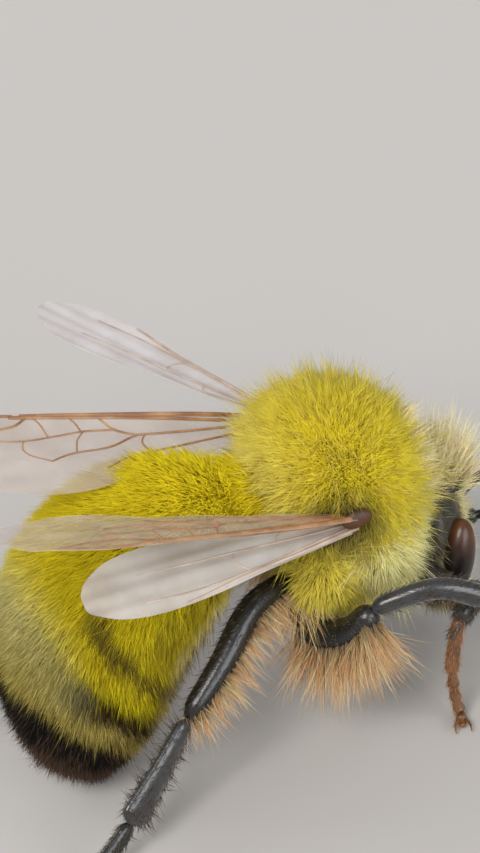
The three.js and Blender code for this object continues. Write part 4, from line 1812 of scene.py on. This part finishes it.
def thorax_lie(points: Points, normals: Points) -> Points:
    """Nearly upright, leaning a little to the rear, and down on the flanks."""
    flank = ramp(-points[:, 2], -6.2, -5.0)[:, None]
    return normals + np.array([-0.14, 0, 0.0]) + flank * np.array([0.12, 0, -0.5])


def collar_where(points: Points, normals: Points) -> Points:
    """The front rim of the thorax over the head."""
    return ramp(points[:, 0], 1.1, 1.5) * ramp(points[:, 2], 4.9, 5.4) * (1 - ramp(points[:, 2], 6.9, 7.4))


def collar_lie(points: Points, normals: Points) -> Points:
    """Forward and up, in a fan."""
    return normals * 0.8 + np.array([0.5, 0, 0.3])


def crown_where(points: Points, normals: Points) -> Points:
    """The back of the crown between the bare patches above the eyes."""
    local = leaned(points, -HEAD_PITCH)
    middle = 1 - ramp(np.abs(local[:, 1]), 0.6, 0.85)
    return middle * ramp(local[:, 2], 4.5, 4.9)


def crown_lie(points: Points, normals: Points) -> Points:
    """Up and forward, spreading to the sides."""
    return normals * 0.7 + np.array([0.45, 0, 0.85]) + points * (0, 0.25, 0)


def face_where(points: Points, normals: Points) -> Points:
    """The front of the head between the eyes, thinnest on the clypeus."""
    local = leaned(points, -HEAD_PITCH)
    clypeus = np.exp(-((local[:, 1] / 0.5) ** 2 + ((local[:, 2] - 2.7) / 0.55) ** 2))
    between = 1 - ramp(np.abs(local[:, 1]) + 0.35 * ramp(local[:, 2], 3.4, 4.0), 0.9, 1.1)
    return ramp(normals[:, 0], 0.15, 0.6) * (1 - 0.8 * clypeus) * (1 - ramp(local[:, 2], 4.3, 4.6)) * between


def face_lie(points: Points, normals: Points) -> Points:
    """Out from the face and down."""
    return normals * 0.7 + np.array([0.35, 0, -0.45]) + points * (0, 0.2, 0)


def cheek_where(points: Points, normals: Points) -> Points:
    """Sparse over the cheeks and the back of the head."""
    local = leaned(points, -HEAD_PITCH)
    return (1 - ramp(normals[:, 0], 0.2, 0.5)) * (1 - ramp(local[:, 2], 3.4, 4.2)) + 0.04


def from_lobe(points: Points) -> Points:
    """The way from the middle of the nearest side lobe to each point."""
    mirror = np.where(points[:, 1:2] < 0, (1.0, -1.0, 1.0), (1.0, 1.0, 1.0))
    away = (points * mirror)[:, None] - np.array(LOBES)[None]
    nearest = np.linalg.norm(away, axis=2).argmin(1)
    return away[np.arange(len(points)), nearest] * mirror


def flank_where(points: Points, normals: Points) -> Points:
    """The two lobes on each side of the thorax, over the roots of the legs."""
    away = np.linalg.norm(from_lobe(points), axis=1)
    return np.exp(-(away / 0.8) ** 4) * ramp(np.abs(normals[:, 1]), 0.15, 0.45)


def flank_lie(points: Points, normals: Points) -> Points:
    """Out from the middle of each lobe and down over the roots of the legs."""
    return unit(from_lobe(points)) + normals * 0.2 + np.array([0.0, 0, -0.45])


def ruff_where(points: Points, normals: Points) -> Points:
    """The two front corners of the thorax, behind the eyes."""
    away = np.abs(points) * (0, 1, 0) + points * (1, 0, 1) - np.array([1.2, 1.35, 5.3])
    return np.exp(-((np.linalg.norm(away, axis=1) / 0.75) ** 2))


def ruff_lie(points: Points, normals: Points) -> Points:
    """Forward and out, over the back of the head."""
    return normals * 0.7 + np.array([0.75, 0, -0.2])


def breast_where(points: Points, normals: Points) -> Points:
    """The underside of the thorax between the legs."""
    return ramp(-points[:, 2], -4.9, -4.3) * ramp(-normals[:, 2], 0.0, 0.5)


def breast_lie(points: Points, normals: Points) -> Points:
    """Hanging and spreading outwards."""
    return normals * 0.6 + np.array([-0.1, 0, -0.6]) + points * (0, 0.3, 0)


def body_tufts() -> dict[str, Tuft]:
    """The stretches of the body's coat by the names of their pieces."""
    long_strand, strand, short_strand = (Strand(joints=joints) for joints in (2, 1, 0))
    abdomen = Abdomen()

    def back_where(points: Points, normals: Points) -> Points:
        """All round, thinner under the belly and towards the tip."""
        t, angle, _ = abdomen.chart(points)
        under = 0.45 + 0.55 * (1 - ramp(np.abs(angle), 1.9, 2.5))
        return under * (1 - 0.45 * ramp(t, 0.6, 0.75))

    def combed(out: float, back: float) -> Rule:
        """A lie that stands out from the skin by one share and runs towards the tip by the other."""
        return lambda points, normals: normals * out + abdomen.along(abdomen.chart(points)[0]) * back

    def tail_where(points: Points, normals: Points) -> Points:
        """The rear half, thickest at the tip."""
        return ramp(abdomen.chart(points)[0], 0.5, 0.75)

    return {
        "thorax_pile": Tuft(
            Region.THORAX, 95000, 1.5, 0.0175, thorax_where, thorax_lie, (0.42, 0.78), (10, 0.25), 0.25,
            short_strand, curl=0.16, rarity=1.3),
        "thorax_locks": Tuft(
            Region.THORAX, 11000, 1.8, 0.018, thorax_where, thorax_lie, (0.7, 1.34), (13, 0.88), 0.28,
            strand, (Pigment.GOLD, 0.25), rarity=1.9),
        "flank_pile": Tuft(
            Region.THORAX, 14000, 0.95, 0.018, flank_where, flank_lie, (0.6, 1.0), (14, 0.5), 0.14,
            strand, free=True),
        "ruff_pile": Tuft(
            Region.THORAX, 2600, 1.4, 0.016, ruff_where, ruff_lie, (0.6, 1.0), (9, 0.45), 0.16,
            strand, (Pigment.LEMON, 0.35)),
        "collar_pile": Tuft(
            Region.THORAX, 1500, 1.45, 0.012, collar_where, collar_lie, (0.75, 1.5), (8, 0.85), 0.22,
            long_strand, (Pigment.CREAM, 0.85), curl=0.1),
        "breast_pile": Tuft(
            Region.THORAX, 3200, 1.7, 0.015, breast_where, breast_lie, (0.5, 1.0), (9, 0.5), 0.2,
            long_strand, free=True),
        "abdomen_pile": Tuft(
            Region.ABDOMEN, 84000, 1.4, 0.017, back_where, combed(0.62, 0.8), (0.5, 0.85), (12, 0.25), 0.2,
            short_strand, curl=0.15),
        "abdomen_locks": Tuft(
            Region.ABDOMEN, 8500, 1.4, 0.018, back_where, combed(0.85, 0.6), (0.8, 1.08), (7, 0.55), 0.16,
            strand),
        "tail_pile": Tuft(
            Region.ABDOMEN, 3600, 1.7, 0.012, tail_where, combed(1.0, 0.5), (0.6, 1.15), (5, 0.3), 0.32,
            long_strand, (Pigment.SMOKE, 0.8), curl=0.2),
        "crown_pile": Tuft(
            Region.HEAD, 1700, 1.3, 0.012, crown_where, crown_lie, (0.4, 1.8), (7, 0.8), 0.26,
            long_strand, (Pigment.CREAM, 0.95), curl=0.12, rarity=1.6),
        "face_pile": Tuft(
            Region.HEAD, 4000, 0.55, 0.010, face_where, face_lie, (0.5, 1.0), (8, 0.3), 0.16,
            short_strand, (Pigment.CREAM, 0.6), True),
        "cheek_pile": Tuft(
            Region.HEAD, 2600, 0.4, 0.009, cheek_where, face_lie, (0.5, 1.0), (6, 0.2), 0.25,
            short_strand, (Pigment.SMOKE, 0.8), True),
    }


def split(growth: Growth, name: str, each: int, limit: int = 185000) -> list[tuple[str, Growth]]:
    """Parts the hairs of a big piece into stretches along the body, each under the triangle limit.

    Args:
        growth: the hairs.
        name: the name of the whole.
        each: how many triangles a hair has.
        limit: the most triangles in a piece.

    Returns:
        The names and hairs of the pieces.
    """
    parts = math.ceil(len(growth.roots) * each / limit)
    if parts == 1:
        return [(name, growth)]
    edges = np.quantile(growth.chart[:, 1], np.linspace(0, 1, parts + 1))
    rank = np.clip(np.searchsorted(edges, growth.chart[:, 1], side="right") - 1, 0, parts - 1)
    return [(f"{name}_{i + 1}", growth.kept(rank == i)) for i in range(parts)]


@dataclass
class LegHair:
    """The bristles and fringes of the legs."""

    weaver: Weaver
    strand: Strand = field(default_factory=lambda: Strand(joints=0))
    fringe_strand: Strand = field(default_factory=lambda: Strand(joints=2))
    sunk: float = 0.01  # how deep the roots stand under the shell

    # how many bristles each joint has and how long they are
    BRISTLES = {"femur": (600, 0.28), "tibia": (700, 0.28), "tarsus": (800, 0.2)}
    # the same for the long hairs under each leg's femur
    FRINGES = {"fore": (260, 0.5), "middle": (3000, 1.65), "hind": (1500, 1.05)}
    # the same for each edge of the hind tibia, and the ways that its hairs stand
    BASKET = (110, 0.5)
    BASKET_WAYS = ((0.3, 0, -0.9), (-0.3, 0, 0.9))

    def on(self, piece: Piece, count: int, heading: Points) -> tuple[Points, Points, Points]:
        """Root places, normals and chart places on a leg joint.

        Args:
            piece: the joint.
            count: how many hairs.
            heading: which way the joint runs.

        Returns:
            The roots, their normals and their places on the chart.
        """
        corners, places = Bench.triangles(piece), Bench.points(piece)
        a, b, c = (places[corners[:, k]] for k in range(3))
        cross = np.cross(b - a, c - a)
        area = np.linalg.norm(cross, axis=1)
        picked, first, second, third = strewn(self.weaver.rng, area, count)
        roots = a[picked] * first + b[picked] * second + c[picked] * third
        normals = unit(cross[picked])
        along = (roots - places.mean(0)) @ heading
        around = np.arctan2(*np.cross(normals, heading)[:, :2].T) / math.pi
        return roots - normals * self.sunk, normals, np.stack([around, along], -1)

    def bristles(
        self, piece: Piece, heading: Points, count: int, length: float, pigment: Points
    ) -> Growth:
        """Short hairs that lie along a joint towards its end.

        Args:
            piece: the joint.
            heading: which way it runs.
            count: how many hairs.
            length: how long they are.
            pigment: their colour.

        Returns:
            The hairs.
        """
        roots, normals, chart = self.on(piece, count, heading)
        rng = self.weaver.rng
        directions = unit(normals * 0.5 + heading * 0.8 + rng.normal(0, 0.15, roots.shape))
        lengths = length * rng.uniform(0.6, 1.1, count)
        colours = pigment * rng.normal(1.0, 0.15, count)[:, None]
        return Growth(roots, directions, lengths, np.full(count, 0.009), colours, chart)

    def fringe(
        self, piece: Piece, heading: Points, down: Points, count: int, length: float, pigments: Points
    ) -> Growth:
        """Long hairs that hang from one side of a joint.

        Args:
            piece: the joint.
            heading: which way it runs.
            down: the side that the hairs hang from.
            count: how many at most.
            length: how long they are.
            pigments: the two colours that they mix.

        Returns:
            The hairs.
        """
        roots, normals, chart = self.on(piece, count * 4, heading)
        rng = self.weaver.rng
        kept = np.flatnonzero(normals @ down > 0.4)[:count]
        roots, normals, chart = roots[kept], normals[kept], chart[kept]
        directions = unit(normals * 0.9 + down * 0.5 + rng.normal(0, 0.3, roots.shape))
        lengths = length * (0.3 + 0.8 * rng.random(len(kept)) ** 1.4)
        share = rng.random(len(kept)) ** 1.3
        colours = mixed(pigments[0], pigments[1], share) * rng.normal(1.0, 0.1, len(kept))[:, None]
        return Growth(roots, directions, lengths, np.full(len(kept), 0.010), colours, chart)

    def build(self, leg: Leg, wardrobe: Wardrobe) -> None:
        """Grows the hair of one pair of legs and settles it in a piece for each side."""
        for word, side in (("right", -1), ("left", 1)):
            short, long = [], []
            for joint, (count, length) in self.BRISTLES.items():
                piece, course = leg.parts[joint, word], getattr(leg.plan, joint)
                ends = np.array([course[0], course[-1]]) * (1, side, 1)
                heading = unit(ends[1] - ends[0])
                pale = joint == "tarsus" and leg.plan.amber_foot
                pigment = Pigment.TAN.rgb * 0.8 if pale else Pigment.SMOKE.rgb * 0.6
                short.append(self.bristles(piece, heading, count, length, pigment))
                if joint == "femur":
                    down = unit(np.array([-0.15, side * 0.45, -0.9]))
                    warm = np.stack([Pigment.TAN.rgb, Pigment.CREAM.rgb])
                    long.append(self.fringe(piece, heading, down, *self.FRINGES[leg.plan.name], warm))
                if joint == "tibia" and leg.plan.name == "hind":
                    dark = np.stack([Pigment.BLACK.rgb, Pigment.SMOKE.rgb])
                    for way in self.BASKET_WAYS:
                        long.append(self.fringe(piece, heading, unit(np.array(way)), *self.BASKET, dark))
            stem = f"{leg.plan.name}_leg"
            self.lay(f"{stem}_bristles_{word}", merged(short), self.strand, Slot.BLACK_SHELL, wardrobe)
            fringe = merged(long)
            self.weaver.clump(fringe, 11, 0.6)
            self.lay(f"{stem}_fringe_{word}", fringe, self.fringe_strand, Slot.YELLOW_PILE, wardrobe)

    def lay(self, name: str, growth: Growth, strand: Strand, slot: Slot, wardrobe: Wardrobe) -> None:
        """Weaves hairs that are kept off the floor and settles them.

        Args:
            name: the piece's name.
            growth: the hairs.
            strand: the hair that is copied.
            slot: not used.
            wardrobe: the finishes.
        """
        growth.lengths = self.weaver.above_floor(growth, growth.lengths)
        settle(self.weaver.weave(name, growth, strand), wardrobe.bristle, smooth=0)


def merged(growths: Sequence[Growth]) -> Growth:
    """Several growths made one, their charts side by side.

    Args:
        growths: the growths.

    Returns:
        All their hairs.
    """
    names = ("roots", "directions", "lengths", "widths", "colours")
    rows = {name: np.concatenate([getattr(growth, name) for growth in growths]) for name in names}
    charts = []
    for i, growth in enumerate(growths):
        low, high = growth.chart.min(0), growth.chart.max(0)
        share = (growth.chart - low) / np.maximum(high - low, NO_LENGTH)
        charts.append(np.stack([share[:, 0], (share[:, 1] * 0.96 + i) / len(growths)], -1))
    return Growth(**rows, chart=np.concatenate(charts))


# ---- stage

@dataclass(frozen=True)
class Studio:
    """The pale floor, the soft lamps and the camera."""

    azimuth: float = -16.0
    elevation: float = 33.0
    roll: float = 12.0
    distance: float = 0.15
    view_height: float = 0.021325  # what the tall side of the frame takes in
    aim: tuple[float, float] = (-2.221, 1.2575)  # the frame's middle from the thorax, right and up, in mm
    sensor: float = 36.0

    def axes(self) -> tuple[Vector, Vector, Vector]:
        """The frame's right and up, and the way back to the camera."""
        a, e, r = (math.radians(v) for v in (self.azimuth, self.elevation, self.roll))
        right = Vector((math.cos(a), math.sin(a), 0))
        up = Vector((-math.sin(a) * math.sin(e), math.cos(a) * math.sin(e), math.cos(e)))
        back = right.cross(up)
        return right * math.cos(r) - up * math.sin(r), right * math.sin(r) + up * math.cos(r), back

    def camera(self) -> None:
        """Sets the camera at the viewing angle, framed on the thorax."""
        right, up, back = self.axes()
        low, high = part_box("thorax")
        target = (low + high) / 2 + right * self.aim[0] * MM + up * self.aim[1] * MM
        data = bpy.data.cameras.new("camera")
        data.sensor_width = self.sensor
        data.lens = self.sensor * self.distance / self.view_height
        data.clip_start = 0.01
        data.clip_end = 10.0
        made = Bench.put("camera", data)
        turn = Matrix((right, up, back)).transposed().to_4x4()
        made.matrix_world = Matrix.Translation(target + back * self.distance) @ turn
        bpy.context.scene.camera = made

    @staticmethod
    def light(name: str, kind: str, way: Triple, distance: float, **settings: object) -> None:
        """A soft light that faces the bee from one side.

        Args:
            name: its name.
            kind: AREA for a square lamp, SUN for a wide light from far away.
            way: the way to it.
            distance: how far off it stands, in metres.
            settings: its power, width and colour.
        """
        data = bpy.data.lights.new(name, kind)
        for setting, value in settings.items():
            setattr(data, setting, value)
        made = Bench.put(name, data)
        direction = Vector(way).normalized()
        made.location = direction * distance
        made.rotation_euler = direction.to_track_quat("Z", "Y").to_euler()

    def build(self) -> None:
        """Lays the floor and lights it."""
        Bench.clear()
        bpy.ops.mesh.primitive_plane_add(size=3.0)
        floor = bpy.context.object
        floor.name = "stage_floor"
        floor.data.materials.append(FloorFinish().build())
        wide = math.radians(30.0)
        self.light("key", "SUN", (-0.45, -0.56, 0.70), 0.0, energy=1.95, angle=wide, color=(1.0, 0.97, 0.93))
        self.light("fill", "AREA", (0.38, -0.85, 0.2), 0.3, energy=0.62, size=0.22, color=(0.94, 0.97, 1.0))
        self.light("rim", "AREA", (-0.55, 0.7, 0.5), 0.3, energy=0.28, size=0.2, color=(1.0, 0.98, 0.95))
        world = bpy.data.worlds.new("studio")
        world.use_nodes = True
        world.node_tree.nodes["Background"].inputs["Color"].default_value = (0.93, 0.95, 1.0, 1.0)
        world.node_tree.nodes["Background"].inputs["Strength"].default_value = 0.40
        bpy.context.scene.world = world
        bpy.context.scene.view_settings.view_transform = "Standard"
        self.camera()


# ---- the whole bee

@dataclass
class Bumblebee:
    """The whole animal."""

    wardrobe: Wardrobe = field(default_factory=Wardrobe)
    rng: np.random.Generator = field(default_factory=lambda: np.random.default_rng(SEED))

    @staticmethod
    def pair(piece: Piece, node: str, slot: Slot, material: Material) -> None:
        """Settles a right piece and its mirrored copy in place of a pair of nodes."""
        piece.name = f"{node}_form_right"
        for half, side in ((Bench.twin(piece), "left"), (piece, "right")):
            settle(half, material, [f"{node}_{side}"])

    def head(self) -> list[BVHTree]:
        """Makes the eyes, ocelli, jaws and feelers and returns the eyes' faces, which no hair may cross."""
        head, wear = Head(), self.wardrobe
        scape, whip = head.feeler()
        eye = head.eye()
        twin = Bench.twin(eye)
        trees = [Bench.tree(eye), Bench.tree(twin)]
        bpy.data.objects.remove(twin)
        self.pair(eye, "eye", Slot.EYE, wear.eye)
        self.pair(head.mandible(), "mandible", Slot.AMBER_SHELL, wear.umber)
        self.pair(scape, "antenna_scape", Slot.BLACK_SHELL, wear.black)
        self.pair(whip, "antenna_flagellum", Slot.BLACK_SHELL, wear.black)
        settle(head.ocelli(), wear.eye)
        return trees

    def tegulae(self) -> None:
        """The shell cap over each pair of wing roots."""
        cap = Bench.ball("tegula_right", (-0.45, -2.64, 6.46), (0.40, 0.16, 0.25))
        Bench.move(cap, lambda places: places - np.outer(0.12 * (places[:, 0] + 0.45) ** 2, (0, 0, 1)))
        self.pair(cap, "tegula", Slot.AMBER_SHELL, self.wardrobe.umber)

    def build(self) -> None:
        """Builds every sub-assembly in order."""
        skin = Skin(Markings())
        skin.build()
        weaver = Weaver(self.rng)
        legs = [Leg(plan) for plan in LEGS]
        obstacles = []
        for leg in legs:
            leg.build()
            obstacles += [Bench.tree(leg.parts["femur", side]) for side in ("right", "left")]
        eyes = self.head()
        coat = Coat(skin, Outline(wings=list(WINGS)), weaver, [*obstacles, *eyes])
        for name, tuft in body_tufts().items():
            growth = coat.grow(tuft)
            slot, material = Slot.YELLOW_PILE, self.wardrobe.mantle
            if tuft.region is Region.ABDOMEN:
                slot, material = Slot.BANDED_PILE, self.wardrobe.banded
            for part, hairs in split(growth, name, tuft.strand.triangles):
                settle(weaver.weave(part, hairs, tuft.strand), material, smooth=0)
        hair = LegHair(weaver)
        for leg in legs:
            hair.build(leg, self.wardrobe)
            leg.finish(self.wardrobe)
        skin.finish(self.wardrobe)
        self.tegulae()
        for wing in WINGS:
            wing.build(self.wardrobe)


def main() -> None:
    """Builds the bee and its stage."""
    logging.basicConfig(level=logging.INFO, format="%(name)s: %(message)s")
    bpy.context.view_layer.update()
    Studio().build()
    Bumblebee().build()


if __name__ == "__main__":
    main()
